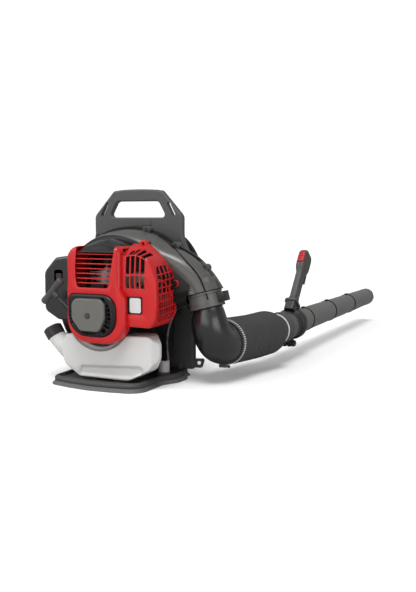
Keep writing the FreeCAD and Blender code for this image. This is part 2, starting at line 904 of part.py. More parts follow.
def hose_clamp_front():
    y = hose_end_y() - hose_cuff * 0.42
    r = hose_inner_r(y) + hose_wall + wire_ring_r + seat_gap
    loop = Part.makeTorus(r, wire_ring_r, V(tube_x, y, tube_z), Y_AXIS)
    ear = box(tube_x - 4, tube_x + 4, y - wire_ring_r, y + wire_ring_r, tube_z - r - 9, tube_z - r)
    return fused([loop, ear])


def swivel_start_y():
    return hose_end_y() - pipe_end_length


def straight_start_y():
    return hose_end_y() + swivel_length


def pipe_along(profile):
    """A pipe about the tube's centreline, from (radius, y) pairs of its outside."""
    outer = [(0, profile[0][1])] + profile + [(0, profile[-1][1])]
    return turned(outer, V(tube_x, 0, tube_z), Y_AXIS)


def swivel_bore_r():
    return straight_r - pipe_wall


def swivel_pipe():
    y0 = swivel_start_y()
    y1 = hose_end_y() + 6
    y2 = straight_start_y()
    body = pipe_along([
        (pipe_end_r - 1, y0), (pipe_end_r, y0 + 3), (pipe_end_r, y1), (pipe_end_r + 9, y1 + 2),
        (pipe_end_r + 9, y1 + 8), (pipe_end_r + 3, y1 + 14), (pipe_end_r + 3, y1 + 20),
        (swivel_r, y1 + 26), (swivel_r, y2 - socket_depth - 6), (swivel_r - 1, y2),
    ])
    mouth = swivel_r - pipe_wall
    bore = pipe_along([
        (pipe_end_r - pipe_wall, y0 - 1), (pipe_end_r - pipe_wall, y0 + 30),
        (swivel_bore_r(), y0 + 70), (swivel_bore_r(), y2 - socket_depth),
        (straight_r + seat_gap, y2 - socket_depth), (straight_r + seat_gap, y2 + 1),
    ])
    ring_out = ring(swivel_r + ring_h, mouth, V(tube_x, y2 - ring_w, tube_z), Y_AXIS, ring_w)
    return fused([body, ring_out, lock_dot(swivel_r + ring_h, y2 - ring_w / 2)]).cut(bore)


def lock_dot(r, y):
    """The raised lug on top of a bayonet joint."""
    return rod(4.5, V(tube_x, y, tube_z + r - 2), Z_AXIS, 4.5)


def straight_pipe(y0, next_r):
    """A pipe whose rear end plugs into the one before and whose front end is a socket."""
    y1 = y0 + straight_length
    body = pipe_along([
        (straight_r, y0 - socket_depth + seat_gap), (straight_r, y1 - socket_depth - 8),
        (straight_r + 2, y1 - socket_depth), (straight_r + 2, y1),
    ])
    collar = ring(straight_r + 2 + ring_h, straight_r, V(tube_x, y1 - ring_w, tube_z), Y_AXIS, ring_w)
    bore = pipe_along([
        (straight_r - pipe_wall, y0 - socket_depth - 1), (straight_r - pipe_wall, y1 - socket_depth),
        (next_r + seat_gap, y1 - socket_depth), (next_r + seat_gap, y1 + 1),
    ])
    return fused([body, collar, lock_dot(straight_r + 2 + ring_h, y1 - ring_w / 2)]).cut(bore)


def plug_r():
    return straight_r + 2 - pipe_wall - seat_gap


def straight_pipe_rear():
    return straight_pipe(straight_start_y(), plug_r())


def straight_pipe_front():
    y0 = straight_start_y() + straight_length
    body = straight_pipe(y0, plug_r())
    ring_cut = ring(straight_r + 1, plug_r(), V(tube_x, y0 - socket_depth - 1, tube_z), Y_AXIS, socket_depth + 1)
    return body.cut(ring_cut)


def nozzle_start_y():
    return straight_start_y() + 2 * straight_length


def nozzle():
    y0 = nozzle_start_y()
    y1 = y0 + nozzle_length
    body = pipe_along([
        (plug_r(), y0 - socket_depth + seat_gap), (plug_r(), y0 + seat_gap), (straight_r + 2, y0 + seat_gap),
        (straight_r + 1, y0 + nozzle_length * 0.3), (nozzle_r, y0 + nozzle_length * 0.62),
        (nozzle_r, y1 - 26), (nozzle_tip_r + 1.5, y1 - 8), (nozzle_tip_r, y1),
    ])
    inner = plug_r() - pipe_wall
    bore = pipe_along([(inner, y0 - socket_depth - 1), (inner, y1 + 1)])
    band = ring(nozzle_r + 1, nozzle_r - 1, V(tube_x, y1 - 40, tube_z), Y_AXIS, 6)
    return fused([body, band]).cut(bore)


# Control handle, made upright about its own base and then leaned forward

def grip_base():
    return V(tube_x, grip_clamp_y + grip_base_ahead, tube_z + swivel_r + grip_clamp_t + 4)


def leaned(shape):
    result = shape.copy()
    result.rotate(V(0, 0, 0), X_AXIS, -handle_lean)
    result.translate(grip_base())
    return result


def handle_clamp():
    """A split ring on the swivel pipe with two ears below and a block for the handle's foot above."""
    y0 = grip_clamp_y - grip_clamp_w / 2
    r = swivel_r + seat_gap
    band = ring(r + grip_clamp_t, r, V(tube_x, y0, tube_z), Y_AXIS, grip_clamp_w)
    slit = box(tube_x - 2, tube_x + 2, y0 - 1, y0 + grip_clamp_w + 1, tube_z - r - 40, tube_z - r + 5)
    ears = prism_y([
        (tube_x - 13, tube_z - r - 2, 0), (tube_x - 13, tube_z - r - 26, 4), (tube_x + 13, tube_z - r - 26, 4),
        (tube_x + 13, tube_z - r - 2, 0),
    ], y0 + 4, y0 + grip_clamp_w - 4)
    half = foot_width / 2 - 5
    bridge = leaned(prism_z(block(-half, half, -22, 15, 6), -20, grip_start - foot_t))
    clear = rod(r, V(tube_x, y0 - 40, tube_z), Y_AXIS, grip_clamp_w + 120)
    body = fused([band, ears, bridge]).cut(clear).cut(slit)
    bolt_z = tube_z - r - 17
    return body.cut(rod(bolt_r, V(tube_x - 20, y0 + grip_clamp_w / 2, bolt_z), X_AXIS, 40))


def clamp_screw():
    """The screw through the clamp's ears, with a hand knob."""
    r = swivel_r + seat_gap
    y = grip_clamp_y
    z = tube_z - r - 17
    shank = rod(bolt_r - shaft_gap, V(tube_x - 16, y, z), X_AXIS, 32)
    knob = turned([(0, 0), (9, 0), (10, 3), (8, 9), (0, 10)], V(tube_x + 13, y, z), X_AXIS)
    nut = rod(bolt_head_r, V(tube_x - 17, y, z), X_AXIS, 4)
    return fused([shank, knob, nut])


def handle_grip():
    """Foot plate, slim neck and the larger head that holds the trigger and the stop switch."""
    foot_low = grip_start - foot_t
    foot = prism_z(block(-foot_width / 2, foot_width / 2, -foot_length / 2, foot_length / 2, 8),
                   foot_low, grip_start)
    w = grip_width / 2
    d = grip_depth / 2
    flare = Part.makeLoft([
        rounded_wire(block(-w - 6, w + 6, -d - 5, d + 5, 10), lambda p: V(p.x, p.y, grip_start)),
        rounded_wire(block(-w, w, -d, d, 10), lambda p: V(p.x, p.y, grip_start + 16)),
        rounded_wire(block(-w, w, -d, d, 10), lambda p: V(p.x, p.y, grip_start + grip_rise - 18)),
        rounded_wire(block(-w - 2, w + 2, -d - 3, d + 3, 10), lambda p: V(p.x, p.y, grip_start + grip_rise)),
    ], True, True)
    head = prism_x([
        (-head_depth / 2, head_low(), 8), (head_depth / 2 - 8, head_low() - 4, 8),
        (head_depth / 2, head_low() + head_height * 0.4, 12), (head_depth / 2, head_top(), 20),
        (-head_depth / 2, head_top(), 18),
    ], -head_width / 2, head_width / 2)
    head = rounded(head, 6, lambda b: b.XLength < 0.01)
    body = fused([foot, flare, head])
    slot = prism_x([
        (head_depth / 2 - 9, trigger_pivot_z() + 9, 2), (head_depth, trigger_pivot_z() + 9, 0),
        (head_depth, trigger_pivot_z() - trigger_length - 6, 0),
        (head_depth / 2 - 13, trigger_pivot_z() - trigger_length - 6, 2),
    ], -trigger_half_w() - seat_gap, trigger_half_w() + seat_gap)
    body = body.cut(slot)
    pin = rod(2, V(-head_width / 2 + 4, trigger_pivot_y(), trigger_pivot_z()), X_AXIS, head_width - 8)
    well = prism_y(block(-stop_half_w - seat_gap, stop_half_w + seat_gap, stop_low() - seat_gap,
                         stop_high() + seat_gap, 3), -head_depth / 2 - 2, -head_depth / 2 + 10)
    return leaned(body.cut(well).fuse(pin))


def head_low():
    return grip_start + grip_rise - 6


def head_top():
    return head_low() + head_height


def stop_low():
    return head_low() + 14


def stop_high():
    return head_top() - 14


def trigger_half_w():
    return grip_width / 2 - 5


def trigger_pivot_y():
    return head_depth / 2 - 4


def trigger_pivot_z():
    return head_low() + 24


def throttle_trigger():
    """A curved finger lever on the grip's far side, hung on the head's cross pin."""
    y = trigger_pivot_y()
    z = trigger_pivot_z()
    lever = prism_x([
        (y - 4, z + 5, 3), (y + 5, z + 5, 4), (y + 13, z - trigger_length * 0.45, 12),
        (y + 14, z - trigger_length, 3), (y + 8, z - trigger_length, 3), (y + 4, z - trigger_length * 0.4, 12),
        (y - 4, z - 8, 3),
    ], -trigger_half_w(), trigger_half_w())
    bore = rod(2 + shaft_gap, V(-trigger_half_w() - 1, y, z), X_AXIS, 2 * trigger_half_w() + 2)
    return leaned(lever.cut(bore))


def stop_switch():
    """The red thumb button on the head's near side."""
    cap = prism_y(block(-stop_half_w, stop_half_w, stop_low(), stop_high(), 4),
                  -head_depth / 2 - stop_proud, -head_depth / 2 + 6)
    cap = rounded(cap, 2.5, in_plane_y(-head_depth / 2 - stop_proud))
    return leaned(cap)


# Engine

def crankcase():
    y0 = case_rear_y
    length = engine_face_y - case_rear_y
    barrel = rod(crankcase_r, V(0, y0, crank_z), Y_AXIS, length)
    deck = box(-31, 31, y0, engine_face_y, crank_z, cylinder_z)
    ears = []
    for sx in (-1, 1):
        for sz in (-1, 1):
            x = sx * 40.0
            z = crank_z + sz * 26.0
            ears.append(rod(8, V(x, engine_face_y - 20, z), Y_AXIS, 20))
            ears.append(box(min(x, x * 0.6), max(x, x * 0.6), engine_face_y - 20, engine_face_y, z - 6, z + 6))
    for sx in (-1, 1):
        for z in starter_post_zs:
            x = sx * starter_post_x
            ears.append(rod(starter_post_r, V(x, starter_rear_y(), z), Y_AXIS, y0 + 10 - starter_rear_y()))
            ears.append(box(min(0, x), max(0, x), y0, y0 + 10, z - starter_post_r, z + starter_post_r))
    body = fused([barrel, deck] + ears)
    cavity = rod(crankcase_bore_r, V(0, y0 + case_rear_wall, crank_z), Y_AXIS,
                 length - case_rear_wall - case_front_wall)
    mouth = rod(bore_r + 2, V(0, crank_mid_y, crank_z), Z_AXIS, cylinder_base_z + 1)
    slot_half_y = rod_t / 2 + 2
    swing = box(-rod_slot_half, rod_slot_half, crank_mid_y - slot_half_y, crank_mid_y + slot_half_y, crank_z,
                cylinder_z - 6)
    body = body.cut(cavity).cut(mouth).cut(swing)
    return body.cut(rod(bearing_r, V(0, y0 - 1, crank_z), Y_AXIS, length + 2))


def bearing(y):
    """A closed ball bearing, as one ring with a seal groove on each face."""
    body = ring(bearing_r, crank_shaft_r + shaft_gap, V(0, y, crank_z), Y_AXIS, bearing_w)
    groove = ring(bearing_r - 3, crank_shaft_r + 3, V(0, y - 1, crank_z), Y_AXIS, 1.6)
    far = ring(bearing_r - 3, crank_shaft_r + 3, V(0, y + bearing_w - 0.6, crank_z), Y_AXIS, 1.6)
    return body.cut(groove).cut(far)


def crank_bearings():
    rear = case_rear_y + case_rear_wall - bearing_w
    front = engine_face_y - case_front_wall
    return Part.makeCompound([bearing(rear), bearing(front)])


def web(y):
    """One of the crank's two round webs."""
    return rod(web_r, V(0, y, crank_z), Y_AXIS, web_t)


def crankshaft():
    """Both shafts, both webs and a pin stub on each web. The rod's eye runs between the stubs."""
    shaft_rear = flywheel_y() - starter_cup_t
    rear_web_y = crank_mid_y - web_gap / 2 - web_t
    front_web_y = crank_mid_y + web_gap / 2
    stub = (web_gap - rod_t) / 2 - seat_gap
    pin_z = crank_z - crank_throw
    front_end = engine_face_y + housing_wall + impeller_running_gap + impeller_depth * 0.6 + 8
    pieces = [
        rod(crank_shaft_r, V(0, shaft_rear, crank_z), Y_AXIS, rear_web_y - shaft_rear),
        web(rear_web_y),
        rod(crank_pin_r, V(0, rear_web_y + web_t, pin_z), Y_AXIS, stub),
        web(front_web_y),
        rod(crank_pin_r, V(0, front_web_y - stub, pin_z), Y_AXIS, stub),
        rod(crank_shaft_r, V(0, front_web_y + web_t, crank_z), Y_AXIS, front_end - front_web_y - web_t - 8),
        rod(crank_shaft_r + 4, V(0, front_end - 8, crank_z), Y_AXIS, 6),
    ]
    rear = pieces[0].fuse(pieces[1:3]).removeSplitter()
    front = pieces[3].fuse(pieces[4:]).removeSplitter()
    return Part.makeCompound([rear, front])


def flywheel_y():
    return case_rear_y - flywheel_gap - flywheel_t


def flywheel():
    """A cast wheel with magnets in its rim and fins that blow the cooling air."""
    y = flywheel_y()
    wheel = turned([
        (crank_shaft_r, 0), (flywheel_r - 8, 0), (flywheel_r, 4), (flywheel_r, flywheel_t),
        (flywheel_r - 7, flywheel_t), (flywheel_r - 7, 9), (14, 9), (14, flywheel_t), (crank_shaft_r, flywheel_t),
    ], V(0, y, crank_z), Y_AXIS)
    fins = []
    for i in range(14):
        fin = box(-1, 1, y - 5, y + 3, crank_z + starter_cup_r + 3, crank_z + flywheel_r - 6)
        fins.append(turned_about(fin, V(0, 0, crank_z), Y_AXIS, 360 / 14 * i))
    return fused([wheel] + fins)


def starter_cup():
    """The toothed cup on the crankshaft that the starter's pawls catch."""
    y = flywheel_y() - starter_cup_t
    cup = turned([
        (crank_shaft_r, 2), (starter_cup_r - 5, 2), (starter_cup_r - 5, 0), (starter_cup_r, 0),
        (starter_cup_r, starter_cup_t), (crank_shaft_r, starter_cup_t),
    ], V(0, y, crank_z), Y_AXIS)
    for i in range(6):
        notch = box(-3, 3, y - 1, y + 2, crank_z + starter_cup_r - 8, crank_z + starter_cup_r - 3)
        cup = cup.cut(turned_about(notch, V(0, 0, crank_z), Y_AXIS, 60 * i))
    return cup


def rod_pin_z():
    return crank_z - crank_throw + rod_length


def connecting_rod():
    y = crank_mid_y - rod_t / 2
    low = crank_z - crank_throw
    high = rod_pin_z()
    shank = prism_y([(-5.5, low + 5, 0), (5.5, low + 5, 0), (4, high - 4, 0), (-4, high - 4, 0)], y, y + rod_t)
    body = fused([rod(rod_big_r, V(0, y, low), Y_AXIS, rod_t), shank,
                  rod(rod_small_r, V(0, y, high), Y_AXIS, rod_t)])
    body = body.cut(rod(crank_pin_r + shaft_gap, V(0, y - 1, low), Y_AXIS, rod_t + 2))
    return body.cut(rod(wrist_pin_r + shaft_gap, V(0, y - 1, high), Y_AXIS, rod_t + 2))


def piston():
    z0 = rod_pin_z() - piston_skirt
    z1 = rod_pin_z() + piston_crown
    r = bore_r - piston_gap
    body = rod(r, V(0, crank_mid_y, z0), Z_AXIS, z1 - z0)
    body = body.cut(rod(r - 4, V(0, crank_mid_y, z0 - 1), Z_AXIS, z1 - z0 - 4))
    bosses = [rod(8, V(0, crank_mid_y + s * (rod_t / 2 + 1), rod_pin_z()), Y_AXIS * s, r - rod_t / 2 - 3)
              for s in (-1, 1)]
    body = fused([body] + bosses)
    for i in range(2):
        groove_z = z1 - 5 - 5 * i
        body = body.cut(ring(r + 1, r - 1, V(0, crank_mid_y, groove_z), Z_AXIS, 1.5))
    reach = rod(r + 5, V(0, crank_mid_y, z0 - 2), Z_AXIS, z1 - z0 + 4)
    return body.common(reach).cut(rod(wrist_pin_r, V(0, crank_mid_y - 50, rod_pin_z()), Y_AXIS, 100))


def wrist_pin():
    half = bore_r - 4
    return rod(wrist_pin_r, V(0, crank_mid_y - half, rod_pin_z()), Y_AXIS, 2 * half)


def bore_top_z():
    return rod_pin_z() + 2 * crank_throw + piston_crown + 1.5


def cylinder():
    """A finned cylinder and head in one casting, with its intake and exhaust flanges."""
    top = bore_top_z() + 8
    barrel = rod(bore_r + cylinder_wall, V(0, crank_mid_y, cylinder_z), Z_AXIS, top - cylinder_z)
    foot = box(-30, 30, crank_mid_y - 28, engine_face_y - seat_gap, cylinder_z, cylinder_z + 6)
    pieces = [barrel, foot]
    for i in range(fin_count):
        z = cylinder_z + 12 + fin_pitch * i
        pieces.append(prism_z(block(-fin_half, fin_half, crank_mid_y - fin_depth, engine_face_y - 2, 8),
                              z, z + fin_t))
    for x in (-coil_foot_x, coil_foot_x):
        pieces.append(box(x - 4, x + 4, coil_rear_y() + coil_t, crank_mid_y - 27, cylinder_z + 1, crank_z + flywheel_r + 22))
    port_z = cylinder_z + 16
    pieces.append(box(-bore_r - 20, -bore_r, crank_mid_y - 14, crank_mid_y + 14, port_z - 11, port_z + 11))
    pieces.append(box(bore_r, bore_r + 22, crank_mid_y - 14, crank_mid_y + 14, port_z - 11, port_z + 11))
    body = fused(pieces)
    body = body.cut(rod(bore_r, V(0, crank_mid_y, cylinder_z - 1), Z_AXIS, bore_top_z() - cylinder_z + 1))
    body = body.cut(rod(7, V(-bore_r - 30, crank_mid_y, port_z), X_AXIS, 60 + 2 * bore_r))
    return body.cut(rod(plug_thread_r, V(0, crank_mid_y, bore_top_z() - 1), Z_AXIS, 20))


def head_top_z():
    return bore_top_z() + 8


def spark_plug():
    z = head_top_z()
    return turned([
        (0, -7), (plug_thread_r, -7), (plug_thread_r, 0), (9, 0), (9, 7), (6, 9), (5, 13), (4, 26),
        (2.5, 27), (2.5, 31), (0, 31),
    ], V(0, crank_mid_y, z), Z_AXIS)


def spark_plug_cap():
    """A rubber cap over the plug, with its lead's stub turned towards the coil."""
    z = head_top_z() + 15
    cap = turned([(5.2, 0), (8.5, 0), (9.5, 4), (9.5, 15), (7, 20), (0, 20), (0, 16.5), (5.2, 16.5)],
                 V(0, crank_mid_y, z), Z_AXIS)
    stub = rod(4, V(7, crank_mid_y, z + 10), X_AXIS, 16)
    return fused([cap, stub])


def coil_rear_y():
    return flywheel_y() + 4


def ignition_coil():
    """The coil on two posts over the flywheel's rim."""
    y = coil_rear_y()
    low = crank_z + flywheel_r + 1
    body = box(-17, 17, y, y + coil_t, low + 8, low + 26)
    feet = [box(x - 4, x + 4, y, y + coil_t, low, low + 9) for x in (-coil_foot_x, coil_foot_x)]
    return fused([body] + feet)


def muffler():
    """A pressed steel box on the exhaust side with a short outlet."""
    port_z = cylinder_z + 16
    x0 = bore_r + 22
    x1 = cover_right_x - 26
    y0 = crank_mid_y - 34
    y1 = engine_face_y - 6
    body = prism_x(block(y0, y1, port_z - 34, port_z + 44, 14), x0 + 10, x1)
    body = rounded(body, 6, lambda b: b.XLength < 0.01)
    inlet = box(x0, x0 + 12, crank_mid_y - 13, crank_mid_y + 13, port_z - 11, port_z + 11)
    outlet = rod(8, V(x1 - 30, y0 + 2, port_z + 16), Y_AXIS * -1, 10)
    body = fused([body, inlet, outlet])
    return body.cut(rod(5.5, V(x1 - 30, y0 - 10, port_z + 16), Y_AXIS, 14))


def intake_insulator():
    x1 = -bore_r - 20
    port_z = cylinder_z + 16
    body = box(x1 - 12, x1, crank_mid_y - 16, crank_mid_y + 16, port_z - 13, port_z + 13)
    return body.cut(rod(7, V(x1 - 13, crank_mid_y, port_z), X_AXIS, 14))


def carb_x():
    return -bore_r - 32


def carb_z():
    return cylinder_z + 16


def carburetor():
    x = carb_x()
    z = carb_z()
    length = carb_x() - air_base_x()
    body = prism_x(block(crank_mid_y - 17, crank_mid_y + 17, z - 19, z + 19, 4), x - length, x)
    bowl = box(x - length + 4, x - 4, crank_mid_y - 14, crank_mid_y + 14, z - 27, z - 18)
    shaft = rod(3, V(x - length * 0.3, crank_mid_y, z), Z_AXIS, 27)
    arm = box(x - length * 0.3 - 3, x - length * 0.3 + 14, crank_mid_y - 3, crank_mid_y + 3, z + 24, z + 27)
    screw_axis = V(x - length * 0.7, crank_mid_y - 17, z + 8)
    needle = rod(2.5, screw_axis, Y_AXIS * -1, 7)
    body = fused([body, bowl, shaft, arm, needle])
    return body.cut(rod(7.5, V(x - length - 1, crank_mid_y, z), X_AXIS, length + 2))


def primer_bulb():
    """A soft bulb under the carburettor's bowl."""
    z = carb_z() - 27
    x = (carb_x() + air_base_x()) / 2
    dome = Part.makeSphere(9, V(x, crank_mid_y, z - seat_gap))
    return dome.common(box(x - 10, x + 10, crank_mid_y - 10, crank_mid_y + 10, z - 20, z - seat_gap))


def air_base_x():
    return air_right_x + 6


def air_filter_base():
    """The plate that the element seats on, with the air horn and the air box's fastening."""
    plate = prism_x(block(air_rear_y + 1, air_rear_y + air_depth - 1, air_low_z + 1, air_high_z - 1, 6),
                    air_right_x, air_base_x())
    horn = rod(16, V(air_right_x - 4, crank_mid_y, carb_z()), X_AXIS, 4)
    p = choke_pivot()
    axle = rod(choke_axle_r, V(p.x - 14, p.y, p.z), X_AXIS, air_right_x - p.x + 14)
    stop = rod(choke_axle_r + 2, V(p.x + 4 + seat_gap, p.y, p.z), X_AXIS, air_right_x - p.x - 4 - seat_gap)
    body = fused([plate, horn, axle, stop])
    return body.cut(rod(7.5, V(air_right_x - 6, crank_mid_y, carb_z()), X_AXIS, 14))


def air_filter_element():
    x1 = air_right_x - 4
    x0 = x1 - 30
    y0 = air_rear_y + 8
    y1 = air_rear_y + air_depth - 8
    z0 = air_low_z + 34
    z1 = choke_pivot().z - 12
    outer = prism_x(block(y0, y1, z0, z1, 8), x0, x1)
    hollow = prism_x(block(y0 + 9, y1 - 9, z0 + 10, z1 - 10, 4), x0 + 8, x1 + 1)
    return outer.cut(hollow)


def air_box_outline(inset=0.0):
    return [
        (air_left_x + inset, air_low_z + 22 + inset, 18), (air_left_x + 40, air_low_z + inset, 18),
        (air_right_x, air_low_z + inset, 3), (air_right_x, air_high_z - inset, 3),
        (air_left_x + 34, air_high_z - 6 - inset, 14), (air_left_x + inset, air_high_z - 42 - inset, 22),
    ]


def air_filter_cover():
    """The black air box, with a window in its rear face for the choke lever."""
    y0 = air_rear_y
    y1 = air_rear_y + air_depth
    body = prism_y(air_box_outline(), y0, y1)
    body = rounded(body, 7, lambda b: (in_plane_y(y0)(b) or in_plane_y(y1)(b)) and b.XMin < air_right_x - 1)
    inner = prism_y(air_box_outline(air_wall), y0 + air_wall, y1 - air_wall)
    open_side = box(air_right_x - air_wall - 1, air_right_x + 1, y0 + air_wall, y1 - air_wall,
                    air_low_z + air_wall, air_high_z - air_wall)
    p = choke_pivot()
    window = prism_y(block(p.x - 17, p.x + 9, p.z - 16, p.z + 16, 6), y0 - 1, y0 + air_wall + 1)
    return body.cut(inner).cut(open_side).cut(window)


def choke_pivot():
    return V(air_right_x - 32, air_rear_y + 22, intake_z + 28)


def choke_lever():
    """A small lever behind the air box's window, on an axle along X."""
    p = choke_pivot()
    hub = rod(choke_axle_r + 3, V(p.x - 10, p.y, p.z), X_AXIS, 14)
    arm = box(p.x - 8, p.x, p.y - 18, p.y, p.z - 3, p.z + 3)
    knob = box(p.x - 12, p.x + 4, p.y - 21, p.y - 15, p.z - 7, p.z + 7)
    knob = rounded(knob, 2, lambda b: b.YLength > 1)
    body = fused([hub, arm, knob])
    return body.cut(rod(choke_axle_r + shaft_gap, V(p.x - 11, p.y, p.z), X_AXIS, 16))


# Starter

def starter_outline(inset=0.0):
    """The starter housing's rounded outline about the crank, flat at the top."""
    left = starter_left_x + inset
    right = starter_right_x - inset
    h = starter_half_height - inset
    return [
        (left + 2, crank_z + h, 18 - inset), (right, crank_z + h, 36 - inset), (right, crank_z - h, 46 - inset),
        (left, crank_z - h, 54 - inset),
    ]


def starter_rear_y():
    """The open edge of the starter housing, over the flywheel's rim."""
    return flywheel_y() - 6


def starter_face_y():
    return starter_rear_y() - starter_depth


def radial_slot(degrees, half_w, r0, r1, y0, y1):
    slot = box(-half_w, half_w, y0, y1, crank_z + r0, crank_z + r1)
    return turned_about(slot, V(0, 0, crank_z), Y_AXIS, degrees)


def starter_slots(y0, y1):
    """Cooling slots round the disc: wide ones on the right, between two round ones, and narrow ones below."""
    wide = [radial_slot(63.5 + 10.5 * i, 3.2, 45.5, 59, y0, y1) for i in range(6)]
    narrow = [radial_slot(149 + 9.5 * i, 1.5, 37.5 + 0.9 * abs(i - 4), 45, y0, y1) for i in range(10)]
    holes = []
    for degrees in (46.0, 131.0):
        x, z = polar(51, degrees)
        holes.append(rod(5.5, V(x, y0, z), Y_AXIS, y1 - y0))
    return wide + narrow + holes


def starter_housing():
    """A deep cap with a post for the reel and a guide for the rope."""
    y0 = starter_face_y()
    y1 = starter_rear_y()
    body = prism_y(starter_outline(), y0, y1)
    body = rounded(body, 5, in_plane_y(y0))
    cavity = prism_y(starter_outline(starter_wall), y0 + starter_wall, y1 + 1)
    body = body.cut(cavity)
    for slot in starter_slots(y0 - 1, y0 + starter_wall + 1):
        body = body.cut(slot)
    post = rod(post_r, V(0, y0 + starter_wall - 1, crank_z), Y_AXIS, reel_rear_y() + reel_t - y0 - starter_wall + 1)
    guide = rod(6, rope_point(46), rope_direction(), 24)
    body = fused([body, post, guide.cut(cavity)])
    hollow = rod(rope_r + 0.8, rope_point(30), rope_direction(), 60)
    return body.cut(hollow.common(box(-200, -30, -400, 0, 0, 400)))


def starter_disc():
    """The flat-topped disc on the starter housing's face, with its hub screw."""
    y0 = starter_face_y() - disc_t
    w = disc_half_width
    low = crank_z - disc_low
    outline = [
        (-w, crank_z + disc_top, 19), (w, crank_z + disc_top, 19), (w, crank_z - 6, 20),
        (w * 0.66, low, 12), (-w * 0.5, low, 16), (-w, crank_z - 8, 22),
    ]
    body = prism_y(outline, y0, starter_face_y())
    body = rounded(body, 3, in_plane_y(y0))
    hub = ring(5, 2.6, V(0, y0 - 1.2, crank_z), Y_AXIS, 2)
    return body.cut(rod(2.6, V(0, y0 - 1, crank_z), Y_AXIS, 4)).fuse(hub).removeSplitter()


def recoil_spring():
    """A flat spiral spring between the housing's face and the reel."""
    y0 = starter_face_y() + starter_wall + seat_gap
    turns = 5
    r0 = post_r + seat_gap
    pitch = 3.6
    steps = 12 * turns
    inner = []
    outer = []
    for i in range(steps + 1):
        a = 2 * math.pi * i / 12
        r = r0 + pitch * i / 12
        inner.append(V(r * math.cos(a), y0, crank_z + r * math.sin(a)))
        outer.append(V((r + 0.8) * math.cos(a), y0, crank_z + (r + 0.8) * math.sin(a)))
    a_curve = Part.BSplineCurve()
    a_curve.interpolate(inner)
    b_curve = Part.BSplineCurve()
    b_curve.interpolate(outer)
    wire = Part.Wire([a_curve.toShape(), Part.LineSegment(inner[-1], outer[-1]).toShape(), b_curve.toShape(),
                      Part.LineSegment(outer[0], inner[0]).toShape()])
    return Part.Face(wire).extrude(V(0, spring_w, 0))


def reel_rear_y():
    """The reel's near face, behind the recoil spring."""
    return starter_face_y() + starter_wall + spring_w + 2 * seat_gap


def starter_reel():
    y = reel_rear_y()
    bore = post_r + shaft_gap
    return turned([
        (bore, 0), (reel_flange_r, 0), (reel_flange_r, 2), (reel_r - rope_r, 2.5), (reel_r - rope_r, reel_t - 2.5),
        (reel_flange_r, reel_t - 2), (reel_flange_r, reel_t), (bore, reel_t),
    ], V(0, y, crank_z), Y_AXIS)


def rope_direction():
    a = math.radians(rope_angle)
    return V(-math.cos(a), 0, math.sin(a))


def rope_point(along):
    """A point on the rope's line, which leaves the reel at a tangent."""
    a = math.radians(rope_angle)
    tangent = V(-reel_r * math.sin(a), reel_rear_y() + reel_t / 2, crank_z - reel_r * math.cos(a))
    return tangent + rope_direction() * along


def starter_rope():
    return rod(rope_r, rope_point(rope_inside), rope_direction(), tee_along - rope_inside - tee_r + 2)


def starter_handle():
    """A T-grip across the rope, with a short stem that meets the guide."""
    centre = rope_point(tee_along)
    a = math.radians(rope_angle)
    across = V(math.sin(a), 0, math.cos(a))
    bar = turned([
        (0, -tee_length / 2), (tee_r - 3, -tee_length / 2), (tee_r, -tee_length / 2 + 4),
        (tee_r - 1.5, -12), (tee_r - 1.5, 12), (tee_r, tee_length / 2 - 4), (tee_r - 3, tee_length / 2),
        (0, tee_length / 2),
    ], centre, across)
    stem = turned([(0, 0), (5, 0), (7, 14), (0, 14)], centre - rope_direction() * 20, rope_direction())
    body = fused([bar, stem])
    return body.cut(rod(rope_r, rope_point(tee_along - 30), rope_direction(), 30 - tee_r + 2))


# Engine cover

def side_outline(inset=0.0):
    """The part of the cover over the muffler, set back from the rest."""
    right = cover_right_x - inset
    top = cover_top_z - inset
    corner = cover_corner_z + inset
    overlap = cover_step_x - 28
    return [
        (overlap, top, 0), (overlap, corner, 0), (right - 9, corner, 12 - inset), (right, crank_z + 25, 60),
        (right, top, 44 - inset),
    ]


def raised_outline(inset=0.0):
    """The part of the cover that stands forward: the slatted panel and the starter's surround."""
    left = cover_left_x + inset
    top = cover_top_z - inset
    low = cover_low_z + inset
    return [
        (left, top, 16), (left, low, lobe_r), (cover_step_x + 18 - inset, low, lobe_r - 4),
        (cover_step_x + 14 - inset, 226, 12), (cover_step_x - inset, 240, 12), (cover_step_x - inset, top, 5),
    ]


def cover_solids(inset):
    """The cover's forward part and its side part, both drawn in by inset."""
    raised = prism_y(raised_outline(inset), cover_front_y + inset, cover_rear_y)
    side = prism_y(side_outline(inset), cover_front_y + cover_step + inset, cover_side_rear_y)
    shell = scroll_solid(engine_half_levels(), 0)
    shell.translate(V(0, -cover_gap, 0))
    side = side.cut(scroll_solid(engine_half_levels(), cover_gap)).cut(shell)
    for x, z in (cover_top_lug, cover_side_lug):
        side = side.cut(rod(cover_lug_r - 1 + cover_gap, V(x, cover_rear_y, z), Y_AXIS, seam_y - cover_rear_y))
    return raised, side


def slat_cuts():
    """Horizontal openings between the slats of the panel above the starter."""
    low = 240.0
    high = 326.0
    pitch = (high - low) / (slat_count + 1)
    cuts = []
    for i in range(slat_count + 1):
        z0 = low + pitch * i
        left = cover_left_x + 30 + max(0, (268 - z0) * 0.35)
        right = cover_step_x - 8 - max(0, (292 - z0) * 0.38)
        cuts.append(box(left, right, cover_front_y - 2, cover_front_y + cover_step + 4, z0 + slat_h / 2,
                        z0 + pitch - slat_h / 2))
    return cuts


